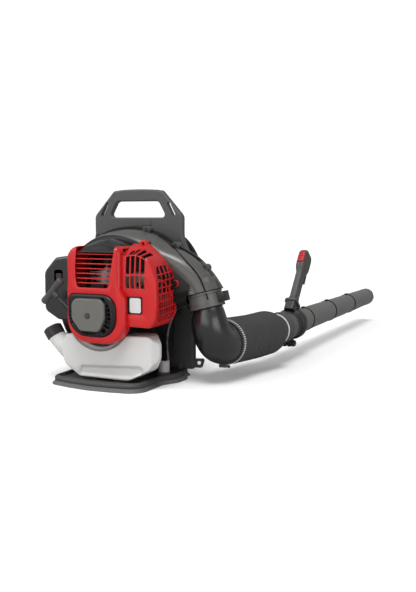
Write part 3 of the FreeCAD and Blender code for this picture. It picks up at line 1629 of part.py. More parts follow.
def curved_vent_cuts():
    """Four tall openings in two rows on the front's right, leaning with the cover's corner."""
    cuts = []
    y0 = cover_front_y + cover_step - 2
    for column in range(4):
        x = cover_step_x + 18 + 12.2 * column
        for z0, z1 in ((242.0, 272.0), (277.0, 314.0)):
            cuts.append(prism_y([(x + (z0 - 242) * 0.03, z0, 1.5), (x + 8.6 + (z0 - 242) * 0.03, z0, 1.5),
                                 (x + 8.6 + (z1 - 242) * 0.03, z1, 1.5), (x + (z1 - 242) * 0.03, z1, 1.5)],
                                y0, y0 + 6))
    return cuts


def side_grille_cuts():
    """Rows of openings in the right side."""
    cuts = []
    z_low = 170.0
    z_high = 288.0
    rows = 9
    columns = 4
    y0 = -122.0
    y1 = -62.0
    z_pitch = (z_high - z_low) / rows
    y_pitch = (y1 - y0) / columns
    for row in range(rows):
        for column in range(columns):
            y = y0 + y_pitch * column
            z = z_low + z_pitch * row
            cuts.append(box(cover_right_x - 14, cover_right_x + 10, y + 2, y + y_pitch - 2, z + 2,
                            z + z_pitch - 2))
    return cuts


def engine_cover():
    """The red cover: one moulded shell, open at the back and below the engine."""
    raised, side = cover_solids(0)
    raised = rounded(raised, 5, in_plane_y(cover_front_y))
    side = rounded(side, 9, lambda b: in_plane_y(cover_front_y + cover_step)(b) and b.XMax > cover_step_x)
    inner_raised, inner_side = cover_solids(cover_wall)
    body = fused([raised, side]).cut(inner_raised).cut(inner_side)
    body = body.cut(box(cover_left_x - 1, cover_right_x + 1, cover_front_y + cover_lobe_depth, cover_rear_y + 1,
                        cover_low_z - 1, cover_corner_z))
    starter_hole = prism_y([(x, z, r) for x, z, r in starter_outline(-seat_gap)],
                           cover_front_y - 1, cover_front_y + cover_wall + cover_step)
    body = body.cut(starter_hole)
    lugs = [rod(cover_lug_r, V(x, cover_rear_y - 8, z), Y_AXIS, 8) for x, z in (cover_top_lug, cover_side_lug)]
    body = fused([body] + [lug.cut(inner_side) for lug in lugs])
    badge_x = cover_step_x + 10
    badge = prism_y(block(badge_x, badge_x + 48, 179, 223, 6), cover_front_y + cover_step - 1,
                    cover_front_y + cover_step + 1)
    body = body.cut(badge)
    for cut in slat_cuts() + curved_vent_cuts() + side_grille_cuts():
        body = body.cut(cut)
    shroud_gap = box(cover_left_x + 24, cover_step_x - 8, cover_front_y + 8, cover_rear_y + 1,
                     cover_top_z - cover_wall - 1, cover_top_z + 1)
    air_gap = box(cover_left_x - 1, cover_left_x + 8, air_rear_y - 2, cover_rear_y + 1, air_low_z, air_high_z + 8)
    rope_gap = box(cover_left_x - 6, cover_left_x + 30, reel_rear_y() - 6, reel_rear_y() + reel_t + 6,
                   crank_z - 2, crank_z + 46)
    return body.cut(shroud_gap).cut(air_gap).cut(rope_gap)


def top_shroud():
    """The black hood that fills the red cover's top and covers the spark plug."""
    z = cover_top_z
    x0 = cover_left_x + 24 + seat_gap
    x1 = cover_step_x - 8 - seat_gap
    y0 = cover_front_y + 8 + seat_gap
    y1 = cover_rear_y - seat_gap
    outer = prism_y([(x0, z - 10, 2), (x1, z - 10, 2), (x1, z + 10, 9), (x1 - 16, z + 15, 10),
                     (x0 + 18, z + 15, 12), (x0, z + 8, 9)], y0, y1)
    outer = rounded(outer, 5, lambda b: in_plane_y(y0)(b) and b.ZMax > z)
    inner = prism_y([(x0 + 2.6, z - 11, 0), (x1 - 2.6, z - 11, 0), (x1 - 2.6, z + 8, 7),
                     (x1 - 17, z + 12.4, 8), (x0 + 19, z + 12.4, 10), (x0 + 2.6, z + 6, 7)],
                    y0 + 2.6, y1 + 1)
    flange = box(x0 - 2, x1 + 0.6, y0 + 8, y1, z - cover_wall - 2, z - cover_wall)
    return fused([outer, flange]).cut(inner)


# Fuel tank

def tank_outline(inset=0.0):
    i = inset
    low = tank_low_z + i
    high = tank_high_z - i
    left = tank_left_x + i
    right = tank_right_x - i
    return [
        (left + 56, low, 14), (right - 76, low, 30), (right - 26, low + 22, 26), (right, low + 54, 20),
        (right, high - 18, 10), (right - 22, high, 12), (left + 14, high - 6, 12), (left, high - 40, 16),
        (left + 12, low + 28, 20),
    ]


def tank_plan(inset=0.0):
    """Seen from above, the right end's rear corner runs off at a slant."""
    rear = tank_rear_y + inset
    front = tank_rear_y + tank_depth - inset
    left = tank_left_x + inset
    right = tank_right_x - inset
    return [
        (left, rear, 0), (right - 16, rear, 8), (right, rear + 18, 8), (right, rear + 26, 8),
        (right - 40, front, 8), (left, front, 0),
    ]


def tank_body(inset):
    y0 = tank_rear_y + inset
    y1 = tank_rear_y + tank_depth - inset
    body = prism_y(tank_outline(inset), y0, y1).common(prism_z(tank_plan(inset), 0, tank_high_z + 10))
    return body.cut(rod(tank_recess_r + inset, V(0, y0 - 1, crank_z), Y_AXIS, tank_depth + 2))


def neck_direction():
    a = math.radians(neck_tilt)
    return V(-math.sin(a), 0, math.cos(a))


def neck_base():
    return V(neck_x, tank_rear_y + tank_depth / 2, neck_z)


def fuel_tank():
    body = rounded(tank_body(0), 7, lambda b: in_plane_y(tank_rear_y)(b) or in_plane_y(tank_rear_y + tank_depth)(b))
    neck = turned([(0, -14), (neck_r + 2, -14), (neck_r + 2, 0), (neck_r, 8), (neck_r, neck_out), (0, neck_out)],
                  neck_base(), neck_direction())
    body = fused([body, neck])
    hollow = tank_body(tank_wall)
    throat = rod(neck_r - 3, neck_base() - neck_direction() * 40, neck_direction(), neck_out + 60)
    grommet = rod(line_r + seat_gap, V(line_x, tank_rear_y + tank_depth / 2, tank_low_z + 34), Z_AXIS, 120)
    return body.cut(hollow).cut(throat).cut(grommet)


def cap_seat():
    return neck_base() + neck_direction() * (neck_out + seat_gap)


def fuel_cap_seal():
    """The disc inside the cap that seals the neck's rim and lifts with the cap."""
    return turned([(0, 0), (neck_r + 1, 0), (neck_r + 1, 2.5), (0, 2.5)], cap_seat(), neck_direction())


def fuel_cap():
    low = -cap_h + 10
    body = turned([
        (neck_r + 1 + seat_gap, low), (cap_r - 1, low), (cap_r, low + 2), (cap_r, 6), (cap_r - 4, 10), (0, 10),
        (0, 2.5 + seat_gap), (neck_r + 1 + seat_gap, 2.5 + seat_gap),
    ], V(0, 0, 0), Z_AXIS)
    for i in range(cap_ribs):
        a = 2 * math.pi * i / cap_ribs
        body = body.cut(rod(2.2, V((cap_r + 0.8) * math.cos(a), (cap_r + 0.8) * math.sin(a), low - 1), Z_AXIS,
                            cap_h + 2))
    return placed(body, cap_seat(), neck_direction())


def fuel_lines():
    """The feed hose from the tank to the carburettor, with its filter in the tank."""
    y = tank_rear_y + tank_depth / 2
    strainer = rod(7, V(line_x, y, tank_low_z + 28), Z_AXIS, 14)
    turn_z = carb_z() - 40
    end_x = carb_x() - 14
    up = rod(line_r, V(line_x, y, tank_low_z + 40), Z_AXIS, turn_z - tank_low_z - 40)
    across = rod(line_r, V(line_x, y, turn_z), X_AXIS, end_x - line_x)
    rise = rod(line_r, V(end_x, y, turn_z), Z_AXIS, carb_z() - 27 - turn_z)
    knees = [Part.makeSphere(line_r, V(x, y, turn_z)) for x in (line_x, end_x)]
    return fused([strainer, up, across, rise] + knees)


# Back pad and shoulder straps

def crowned_pad(x0, x1, y0, t, z0, z1):
    """A cushion, flat at its back, with drawn-in sides and a crown in front."""
    def level(y, inset, r):
        return rounded_wire(block(x0 + inset, x1 - inset, z0 + inset, z1 - inset, r), lambda p: V(p.x, y, p.y))
    return Part.makeLoft([
        level(y0, 6, 16), level(y0 + t * 0.35, 0, 20), level(y0 + t * 0.75, 7, 20), level(y0 + t, 26, 16),
    ], True, True)


def back_pad():
    y0 = frame_front_y + seat_gap
    body = crowned_pad(-pad_half_width, pad_half_width, y0, pad_t, pad_low_z, pad_high_z)
    channel = [(y0 + pad_t - 4, -4, 0), (y0 + pad_t + 2, -7, 0), (y0 + pad_t + 2, 7, 0), (y0 + pad_t - 4, 4, 0)]
    height = pad_high_z - pad_low_z
    for share in (0.27, 0.5, 0.73):
        z = pad_low_z + height * share
        body = body.cut(prism_x([(y, z + dz, r) for y, dz, r in channel], -pad_half_width, pad_half_width))
    return body


def strap_path(side):
    """(y, z) stations down the strap's middle, with x at each."""
    y0 = frame_front_y + pad_t + 2
    return [
        (side * (strap_x - 20), frame_front_y + strap_t / 2 + 1, pad_high_z + 26),
        (side * strap_x, y0 + 6, pad_high_z + 14),
        (side * (strap_x + 24), y0 + 28, pad_high_z - 40),
        (side * (strap_x + 28), y0 + 38, pad_high_z - 110),
        (side * (strap_x + 22), y0 + 22, pad_high_z - 180),
    ]


def shoulder_strap(side):
    """A padded strap bowed forward off the pad, in straight lofted stretches."""
    points = [V(*p) for p in strap_path(side)]
    wires = []
    for i, p in enumerate(points):
        before = points[max(i - 1, 0)]
        after = points[min(i + 1, len(points) - 1)]
        along = after - before
        along.normalize()
        across = X_AXIS - along * along.dot(X_AXIS)
        across.normalize()
        out = along.cross(across)
        wide = strap_width / 2 * (0.8 if i in (0, len(points) - 1) else 1)
        thick = strap_t / 2
        wires.append(rounded_wire(block(-wide, wide, -thick, thick, 5),
                                  lambda q, p=p, a=across, o=out: p + a * q.x + o * q.y))
    return Part.makeLoft(wires, True, False)


def strap_buckles():
    """The ladder buckle at each strap's lower end, its webbing, and the anchor on the frame."""
    pieces = []
    for side in (-1, 1):
        x, y, z = strap_path(side)[-1]
        low = z - 24
        buckle = box(x - 19, x + 19, y - 12, y - 4, low - 12, low + 12)
        buckle = buckle.cut(box(x - 14, x + 14, y - 13, y - 3, low - 8, low - 3))
        anchor_z = base_t + frame_rim + 26
        foot_y = frame_front_y
        webbing = prism_x([(y - 10, low - 5, 0), (y - 8, low - 5, 0), (foot_y + 8, anchor_z, 0),
                           (foot_y + 6, anchor_z, 0)], x - 12, x + 12)
        anchor = box(x - 17, x + 17, foot_y - frame_t + frame_web, foot_y + 10, anchor_z - 10, anchor_z + 6)
        pieces.append(fused([buckle, webbing, anchor]))
    return Part.makeCompound(pieces)


NODES = {
    "back_frame": back_frame,
    "base_skid": base_skid,
    "strap_loops": strap_loops,
    "vibration_mounts": vibration_mounts,
    "screws": screws,
    "back_pad": back_pad,
    "shoulder_strap_left": lambda: shoulder_strap(-1),
    "shoulder_strap_right": lambda: shoulder_strap(1),
    "strap_buckles": strap_buckles,
    "fan_housing_engine_half": fan_housing_engine_half,
    "fan_housing_back_half": fan_housing_back_half,
    "intake_grille": intake_grille,
    "impeller": impeller,
    "outlet_clamp": outlet_clamp,
    "elbow": elbow,
    "hose_clamp_rear": hose_clamp_rear,
    "hose_rear": hose_rear,
    "hose_front": hose_front,
    "hose_clamp_front": hose_clamp_front,
    "swivel_pipe": swivel_pipe,
    "straight_pipe_rear": straight_pipe_rear,
    "straight_pipe_front": straight_pipe_front,
    "nozzle": nozzle,
    "handle_clamp": handle_clamp,
    "clamp_screw": clamp_screw,
    "handle_grip": handle_grip,
    "throttle_trigger": throttle_trigger,
    "stop_switch": stop_switch,
    "crankcase": crankcase,
    "crank_bearings": crank_bearings,
    "crankshaft": crankshaft,
    "flywheel": flywheel,
    "starter_cup": starter_cup,
    "connecting_rod": connecting_rod,
    "piston": piston,
    "wrist_pin": wrist_pin,
    "cylinder": cylinder,
    "spark_plug": spark_plug,
    "spark_plug_cap": spark_plug_cap,
    "ignition_coil": ignition_coil,
    "muffler": muffler,
    "intake_insulator": intake_insulator,
    "carburetor": carburetor,
    "primer_bulb": primer_bulb,
    "air_filter_base": air_filter_base,
    "air_filter_element": air_filter_element,
    "air_filter_cover": air_filter_cover,
    "choke_lever": choke_lever,
    "starter_housing": starter_housing,
    "starter_disc": starter_disc,
    "recoil_spring": recoil_spring,
    "starter_reel": starter_reel,
    "starter_rope": starter_rope,
    "starter_handle": starter_handle,
    "engine_cover": engine_cover,
    "top_shroud": top_shroud,
    "fuel_tank": fuel_tank,
    "fuel_cap_seal": fuel_cap_seal,
    "fuel_cap": fuel_cap,
    "fuel_lines": fuel_lines,
}

os.makedirs("parts", exist_ok=True)
for name, make in NODES.items():
    shape = make()
    shape.exportStep(os.path.join("parts", name + ".step"))
    print(f"{name:26s} solids {len(shape.Solids):2d}  valid {shape.isValid()}  volume {shape.Volume / 1000:9.1f} cm3")
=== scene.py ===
import json
from math import copysign, cos, exp, hypot, pi, radians, sin, tan

import bmesh
import bpy
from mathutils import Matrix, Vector


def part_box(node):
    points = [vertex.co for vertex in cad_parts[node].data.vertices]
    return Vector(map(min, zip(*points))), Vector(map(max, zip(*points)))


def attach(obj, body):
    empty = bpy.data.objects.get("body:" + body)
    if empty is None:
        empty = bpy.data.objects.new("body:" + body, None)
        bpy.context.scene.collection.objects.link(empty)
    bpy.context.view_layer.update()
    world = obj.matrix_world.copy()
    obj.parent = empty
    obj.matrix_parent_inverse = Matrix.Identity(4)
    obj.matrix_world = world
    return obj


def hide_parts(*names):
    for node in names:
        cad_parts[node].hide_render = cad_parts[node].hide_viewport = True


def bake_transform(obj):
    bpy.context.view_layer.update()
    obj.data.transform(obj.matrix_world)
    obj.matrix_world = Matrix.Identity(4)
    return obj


# Backpack leaf blower: looks round the CAD frame. Sizes are in millimetres until a mesh is made.

MM = 0.001
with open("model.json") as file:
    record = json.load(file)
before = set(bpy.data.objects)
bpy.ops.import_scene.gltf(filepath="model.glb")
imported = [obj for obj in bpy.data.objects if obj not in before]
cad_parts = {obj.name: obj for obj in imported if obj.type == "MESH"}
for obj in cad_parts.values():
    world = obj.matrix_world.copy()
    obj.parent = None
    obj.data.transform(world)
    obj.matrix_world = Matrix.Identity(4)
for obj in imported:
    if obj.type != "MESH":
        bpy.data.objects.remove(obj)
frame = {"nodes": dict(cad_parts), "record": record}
nodes = frame["nodes"]
slots = {part["node"]: part["material_slot"] for part in frame["record"]["subparts"]}
joints = {joint["name"]: joint for joint in frame["record"]["behaviour"]["joints"]}
housing_slot = slots["fan_housing_engine_half"]

X = Vector((1, 0, 0))
Y = Vector((0, 1, 0))
Z = Vector((0, 0, 1))

# The scroll's angles run clockwise from straight above the crank, and the duct leaves it downwards.

crank_z = 175.0
seam_y = 20.0
scroll_start = -158
scroll_end = 77.2
duct_r = 36.0
duct_y = 7.5
duct_tilt = radians(15)
duct_down = Vector((sin(duct_tilt), 0, -cos(duct_tilt)))

tube_axis = Vector(joints["tube_swivel"]["pos_m"]) / MM
handle_lean = radians(40)
grip_foot = Vector((tube_axis.x, 477.0, 142.5))

# The camera stands where the photo was taken from, in metres and degrees.

camera_place = (1.028, -1.700, 0.400)
camera_down = 5.567
camera_left = 25
camera_lens = 48.04
camera_sensor = 36


def box_mm(node):
    """A node's lowest and highest corners, in millimetres."""
    lo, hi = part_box(node)
    return Vector(lo) / MM, Vector(hi) / MM


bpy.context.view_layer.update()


# Materials

def srgb(r, g, b):
    """A colour given in 0-255 display values, as linear light."""
    out = []
    for v in (r, g, b):
        v = v / 255
        out.append(v / 12.92 if v <= 0.04045 else ((v + 0.055) / 1.055) ** 2.4)
    return (out[0], out[1], out[2], 1.0)


def set_inputs(node, values):
    for socket, value in values.items():
        node.inputs[socket].default_value = value


def material(name, rgb, rough=0.5, metal=0.0, bump=0.0, grain=900.0, coat=0.0, sss=0.0, spec=0.5):
    """A moulded, cast or woven finish with fine noise in its surface."""
    m = bpy.data.materials.new(name)
    m.use_nodes = True
    tree = m.node_tree
    shader = tree.nodes["Principled BSDF"]
    set_inputs(shader, {"Base Color": srgb(*rgb), "Roughness": rough, "Metallic": metal, "Coat Weight": coat,
                        "Specular IOR Level": spec, "Subsurface Weight": sss,
                        "Subsurface Radius": (0.01, 0.01, 0.01)})
    if bump:
        place = tree.nodes.new("ShaderNodeTexCoord")
        noise = tree.nodes.new("ShaderNodeTexNoise")
        set_inputs(noise, {"Scale": grain, "Detail": 3})
        relief = tree.nodes.new("ShaderNodeBump")
        set_inputs(relief, {"Strength": bump, "Distance": 0.0004})
        tree.links.new(place.outputs["Object"], noise.inputs["Vector"])
        tree.links.new(noise.outputs["Fac"], relief.inputs["Height"])
        tree.links.new(relief.outputs["Normal"], shader.inputs["Normal"])
    return m


FINISHES = {
    "frame_plastic": dict(rgb=(74, 73, 73), rough=0.46, bump=0.25),
    "base_plastic": dict(rgb=(58, 57, 57), rough=0.55, bump=0.25),
    "housing_plastic": dict(rgb=(27, 26, 26), rough=0.26, bump=0.05, spec=1.0),
    "tube_plastic": dict(rgb=(94, 93, 92), rough=0.45, bump=0.08),
    "handle_plastic": dict(rgb=(66, 65, 64), rough=0.5, bump=0.15),
    "starter_black": dict(rgb=(22, 21, 21), rough=0.3, bump=0.05, spec=0.4),
    "hood_black": dict(rgb=(22, 22, 22), rough=0.14),
    "label_gray": dict(rgb=(196, 196, 198), rough=0.35),
    # A lighter copy of the base plastic: painted light and floor reflection on the foot's flare.
    "foot_lit_gray": dict(rgb=(88, 86, 84), rough=0.6),
    # Dark collars; on the duct clamp's lug this dark is painted shade.
    "collar_black_and_shade": dict(rgb=(34, 33, 33), rough=0.4, bump=0.05),
    "collar_gray": dict(rgb=(72, 71, 70), rough=0.42, bump=0.08),
    "bright_wire": dict(rgb=(214, 212, 210), rough=0.3),
    "line_black": dict(rgb=(16, 16, 16), rough=0.7, spec=0.2),
    # A lit and a shaded copy of the housing black: painted highlight on the scroll's band, painted shade
    # beside the cover.
    "scroll_lit_gray": dict(rgb=(80, 79, 77), rough=0.34, bump=0.06, spec=0.7),
    "scroll_shaded_dark": dict(rgb=(20, 19, 19), rough=0.42, bump=0.05, spec=0.35),
    # A gray copy of the tank white: painted shade in the recess under the cover's lobe.
    "tank_painted_shade": dict(rgb=(150, 149, 148), rough=0.45, sss=0.1),
    "cap_black": dict(rgb=(50, 49, 48), rough=0.3, bump=0.1),
    "coil_black": dict(rgb=(40, 40, 40), rough=0.5),
    "buckle_plastic": dict(rgb=(34, 34, 34), rough=0.4),
    "disc_gray": dict(rgb=(96, 95, 91), rough=0.42, bump=0.1),
    "cover_red": dict(rgb=(186, 16, 20), rough=0.34, coat=0.1),
    "switch_red": dict(rgb=(168, 14, 30), rough=0.3),
    "tank_white": dict(rgb=(196, 196, 194), rough=0.4, sss=0.15),
    "mount_rubber": dict(rgb=(168, 164, 162), rough=0.55),
    "soft_rubber": dict(rgb=(40, 40, 40), rough=0.6),
    "hose_rubber": dict(rgb=(56, 55, 55), rough=0.5, bump=0.06),
    "pad_fabric": dict(rgb=(42, 42, 44), rough=0.9, bump=0.8, grain=1400),
    "rope_nylon": dict(rgb=(62, 61, 60), rough=0.8, bump=0.6, grain=1500),
    "filter_felt": dict(rgb=(190, 180, 150), rough=0.95, bump=0.6),
    "cast_aluminium": dict(rgb=(176, 176, 178), rough=0.42, metal=1.0, bump=0.3),
    "bearing_steel": dict(rgb=(160, 160, 162), rough=0.3, metal=1.0),
    "screw_steel": dict(rgb=(60, 60, 60), rough=0.4, metal=0.6),
    "clamp_steel": dict(rgb=(205, 203, 200), rough=0.28, metal=1.0),
    "muffler_steel": dict(rgb=(120, 115, 110), rough=0.45, metal=0.9, bump=0.2),
}
finish = {name: material(name, **facts) for name, facts in FINISHES.items()}

for name, obj in nodes.items():
    obj.data.materials.clear()
    obj.data.materials.append(finish[slots[name]])
# The CAD housing half gets the shaded copy of the housing black: painted shade on its flat face beside the
# cover.
nodes["fan_housing_engine_half"].data.materials[0] = finish["scroll_shaded_dark"]


# Mesh helpers

def linked(name, data):
    """An object in the scene for a mesh, a lamp or a camera."""
    obj = bpy.data.objects.new(name, data)
    bpy.context.collection.objects.link(obj)
    return obj


def mesh_object(name, verts, faces):
    """A mesh from millimetres, with its faces turned outwards."""
    mesh = bpy.data.meshes.new(name)
    mesh.from_pydata([tuple(c * MM for c in v) for v in verts], [], faces)
    work = bmesh.new()
    work.from_mesh(mesh)
    bmesh.ops.remove_doubles(work, verts=work.verts, dist=1e-6)
    bmesh.ops.recalc_face_normals(work, faces=work.faces)
    work.to_mesh(mesh)
    work.free()
    return linked(name, mesh)


def change(obj, kind, **settings):
    """Puts a modifier with its settings on an object."""
    modifier = obj.modifiers.new(kind.lower(), kind)
    for key, value in settings.items():
        setattr(modifier, key, value)


def bake(obj):
    """Turns an object's modifiers into its mesh."""
    graph = bpy.context.evaluated_depsgraph_get()
    mesh = bpy.data.meshes.new_from_object(obj.evaluated_get(graph))
    obj.modifiers.clear()
    obj.data = mesh


def piece(obj, slot, body="machine", replaces=(), smooth=32, look=None):
    """Gives an object its finish, the body that it rides on when one is given, and the nodes that it stands
    for."""
    obj.data.materials.clear()
    obj.data.materials.append(finish[look or slot])
    for face in obj.data.polygons:
        face.use_smooth = True
    obj.data.set_sharp_from_angle(angle=radians(smooth))
    if body:
        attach(obj, body)
    if replaces:
        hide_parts(*replaces)
    return obj


def tone(obj, look, where):
    """Gives another finish to the faces whose middle, in millimetres, passes a test."""
    obj.data.materials.append(finish[look])
    for face in obj.data.polygons:
        if where(*(face.center / MM)):
            face.material_index = len(obj.data.materials) - 1


def join(name, parts):
    """One object from several, each still a separate shell."""
    work = bmesh.new()
    for part in parts:
        work.from_mesh(part.data)
        bpy.data.objects.remove(part)
    mesh = bpy.data.meshes.new(name)
    work.to_mesh(mesh)
    work.free()
    return linked(name, mesh)


def placed(obj, origin, a, b, c):
    """Moves a mesh so that its x, y and z run along a, b and c from an origin in millimetres."""
    for v in obj.data.vertices:
        x, y, z = v.co
        v.co = origin * MM + a * x + b * y + c * z
    return obj


def cut(obj, tools):
    """Cuts each tool out of an object."""
    for tool in tools:
        change(obj, "BOOLEAN", operation="DIFFERENCE", solver="EXACT", object=tool)
    bake(obj)
    for tool in tools:
        bpy.data.objects.remove(tool)


def bevel(obj, width, segments=2, angle=38):
    change(obj, "BEVEL", width=width * MM, segments=segments, limit_method="ANGLE",
           angle_limit=radians(angle), harden_normals=False)
    bake(obj)


def thicken(obj, wall):
    """Makes a shell of a surface, growing inwards."""
    change(obj, "SOLIDIFY", thickness=wall * MM, offset=-1, use_even_offset=True)
    bake(obj)


def ease(t):
    """Runs smoothly from 0 to 1 as t does, and stays at either end."""
    t = min(max(t, 0), 1)
    return t * t * (3 - 2 * t)


def squared(value, power):
    """A sine or cosine drawn out towards 1, which squares a circle off."""
    return copysign(abs(value) ** power, value)


def turns(count):
    """Angles spread evenly round a circle."""
    return [2 * pi * i / count for i in range(count)]


def circle(centre, a, b, r, sides):
    """Points round a centre, in the plane of two directions."""
    return [centre + a * (r * cos(t)) + b * (r * sin(t)) for t in turns(sides)]


def rounded(corners, closed=True):
    """An outline's points from its corners (a, b, radius), each corner an arc."""
    count = len(corners)
    points = []
    for i, (a, b, r) in enumerate(corners):
        here = Vector((a, b))
        if r <= 0 or (not closed and i in (0, count - 1)):
            points.append(here)
            continue
        back = (Vector(corners[i - 1][:2]) - here).normalized()
        ahead = (Vector(corners[(i + 1) % count][:2]) - here).normalized()
        half = back.angle(ahead) / 2
        centre = here + (back + ahead).normalized() * (r / sin(half))
        first = here + back * (r / tan(half)) - centre
        turn = pi - 2 * half
        if back.x * ahead.y - back.y * ahead.x > 0:
            turn = -turn
        steps = max(int(abs(turn) / radians(8)), 2)
        for k in range(steps + 1):
            a1 = turn * k / steps
            points.append(centre + Vector((first.x * cos(a1) - first.y * sin(a1),
                                           first.x * sin(a1) + first.y * cos(a1))))
    return points


def spread(points, step, closed=True):
    """Adds points along an outline's long straight runs."""
    out = []
    count = len(points)
    for i in range(count if closed else count - 1):
        here = points[i]
        there = points[(i + 1) % count]
        parts = max(int((there - here).length / step), 1)
        out += [here.lerp(there, k / parts) for k in range(parts)]
    if not closed:
        out.append(points[-1])
    return out


def inward_normals(path, closed=True):
    """The direction into an outline at each of its points."""
    count = len(path)
    ahead = path[1:] + path[:1]
    area = sum(p.x * q.y - q.x * p.y for p, q in zip(path, ahead))
    turn = 1 if area > 0 else -1
    out = []
    for i, p in enumerate(path):
        before = path[i - 1] if (closed or i) else p
        after = ahead[i] if (closed or i < count - 1) else p
        along = (after - before).normalized()
        out.append(Vector((-along.y, along.x)) * turn)
    return out


def prism(name, outline, a0, a1, place):
    """A closed outline run from one level to another, where place(u, v, a) gives each corner."""
    count = len(outline)
    verts = [place(p[0], p[1], a) for a in (a0, a1) for p in outline]
    faces = [tuple(range(count)), tuple(range(2 * count - 1, count - 1, -1))]
    faces += [(i, (i + 1) % count, count + (i + 1) % count, count + i) for i in range(count)]
    return mesh_object(name, verts, faces)


def prism_y(name, outline, y0, y1):
    """A closed outline in x and z, run along y."""
    return prism(name, outline, y0, y1, lambda u, v, a: (u, a, v))


def prism_x(name, outline, x0, x1):
    """A closed outline in y and z, run along x."""
    return prism(name, outline, x0, x1, lambda u, v, a: (a, u, v))


def prism_z(name, outline, z0, z1):
    """A closed outline in x and y, run along z."""
    return prism(name, outline, z0, z1, lambda u, v, a: (u, v, a))


def round_outline(a, b, r, sides=64):
    return [Vector((a + r * cos(t), b + r * sin(t))) for t in turns(sides)]


def turned_y(name, profile, x, z, sides=96):
    """A closed profile of (y, radius) points, turned about an axis along y."""
    rings = [circle(Vector((x, y, z)), X, Z, r, sides) for y, r in profile + profile[:1]]
    return lofted(name, rings, True, False)


def block(name, lo, hi):
    """A box between two corners."""
    return prism_y(name, [(lo[0], lo[2]), (hi[0], lo[2]), (hi[0], hi[2]), (lo[0], hi[2])], lo[1], hi[1])


def rectangle(a0, a1, b0, b1, r=0.0):
    return rounded([(a0, b0, r), (a1, b0, r), (a1, b1, r), (a0, b1, r)])


def lofted(name, rings, closed=True, caps=True):
    """A skin over rings that all have the same number of points."""
    count = len(rings[0])
    verts = [p for ring in rings for p in ring]
    faces = []
    for k in range(len(rings) - 1):
        for i in range(count if closed else count - 1):
            j = (i + 1) % count
            faces.append((k * count + i, k * count + j, (k + 1) * count + j, (k + 1) * count + i))
    if caps:
        faces.append(tuple(range(count)))
        last = (len(rings) - 1) * count
        faces.append(tuple(range(last + count - 1, last - 1, -1)))
    return mesh_object(name, verts, faces)


def tube(name, path, r, sides=12, closed=False):
    """A round bar along points."""
    path = [Vector(p) for p in path]
    rings = []
    count = len(path)
    for i, p in enumerate(path):
        before = path[i - 1] if (closed or i) else path[0]
        after = path[(i + 1) % count] if (closed or i < count - 1) else path[-1]
        along = (after - before).normalized()
        side = along.cross(Z)
        side = side.normalized() if side.length > 0.05 else X
        rings.append(circle(p, side, side.cross(along).normalized(), r, sides))
    if closed:
        rings.append(rings[0])
    return lofted(name, rings, True, not closed)


def shell(name, path, closed, front_y, rear_y, edge, wall, slope=None, rows=5):
    """An open-backed shell: a flat front, a rounded front edge of size edge(x, z), and a wall back to
    rear_y(x, z) along the outline. With a slope(x, z), the front lies lower, by its first value, and rises to
    the outline over its second."""
    inward = inward_normals(path, closed)
    drop_back = [slope(p.x, p.y) if slope else (0, 0) for p in path]
    rings = []
    for k in range(rows + 1):
        a = pi / 2 * k / rows
        ring = []
        for p, n, (drop, back) in zip(path, inward, drop_back):
            e = edge(p.x, p.y)
            q = p + n * (e * (1 - sin(a))) - Vector((0, drop))
            ring.append((q.x, front_y + e * (1 - cos(a)), q.y))
        rings.append(ring)
    edge_end = rings[-1]
    if slope:
        for t in (0.25, 0.5, 0.75, 1.0):
            rings.append([(p.x, q[1] + back * t, p.y - drop * (1 - t) ** 1.25)
                          for p, (drop, back), q in zip(path, drop_back, edge_end)])
    last = rings[-1]
    for k in (0.5, 1.0):
        rings.append([(p.x, q[1] + (rear_y(p.x, p.y) - q[1]) * k, p.y) for p, q in zip(path, last)])
    obj = lofted(name, rings, closed, False)
    work = bmesh.new()
    work.from_mesh(obj.data)
    front = work.faces.new(sorted(work.verts, key=lambda v: v.index)[:len(path)])
    bmesh.ops.recalc_face_normals(work, faces=work.faces)
    front.normal_update()
    if front.normal.y > 0:
        bmesh.ops.reverse_faces(work, faces=work.faces)
    work.to_mesh(obj.data)
    work.free()
    thicken(obj, wall)
    return obj


# Engine cover: a forward panel with slats and the starter's rim, and a barrel-shaped side part with vents

def cover_side_path(step_x):
    """The side part's rear outline from its top, round the barrel to its bottom, open at the left."""
    corners = [(step_x - 6, 342, 0), (112, 341, 12), (150, 307, 34), (166.5, 262, 50), (167.5, 200, 70),
               (164, 168, 20), (150, 150, 12), (step_x - 6, 151, 0)]
    return spread(rounded(corners, False), 5, False)


def cover_side_rear(x, z):
    """The side part's rear edge follows the fan housing's swell."""
    return -31 - 26 * ease((z - 252) / 60) - 12 * ease((182 - z) / 26)


def cover_side_slope(x, z):
    """The top runs up towards the back, most of all next to the forward panel."""
    high = ease((z - 285) / 25)
    return high * 26 * ease((154 - x) / 64), 6 + high * 58 * ease((158 - x) / 40)


def curved_column(x0, x1, z0, z1, bow):
    """A vent's outline, both sides bowed to the left."""
    levels = [(bow * (1 - (2 * k / 6 - 1) ** 2), z0 + (z1 - z0) * k / 6) for k in range(7)]
    return [(x0 - shift, z) for shift, z in levels] + [(x1 - shift, z) for shift, z in levels[::-1]]


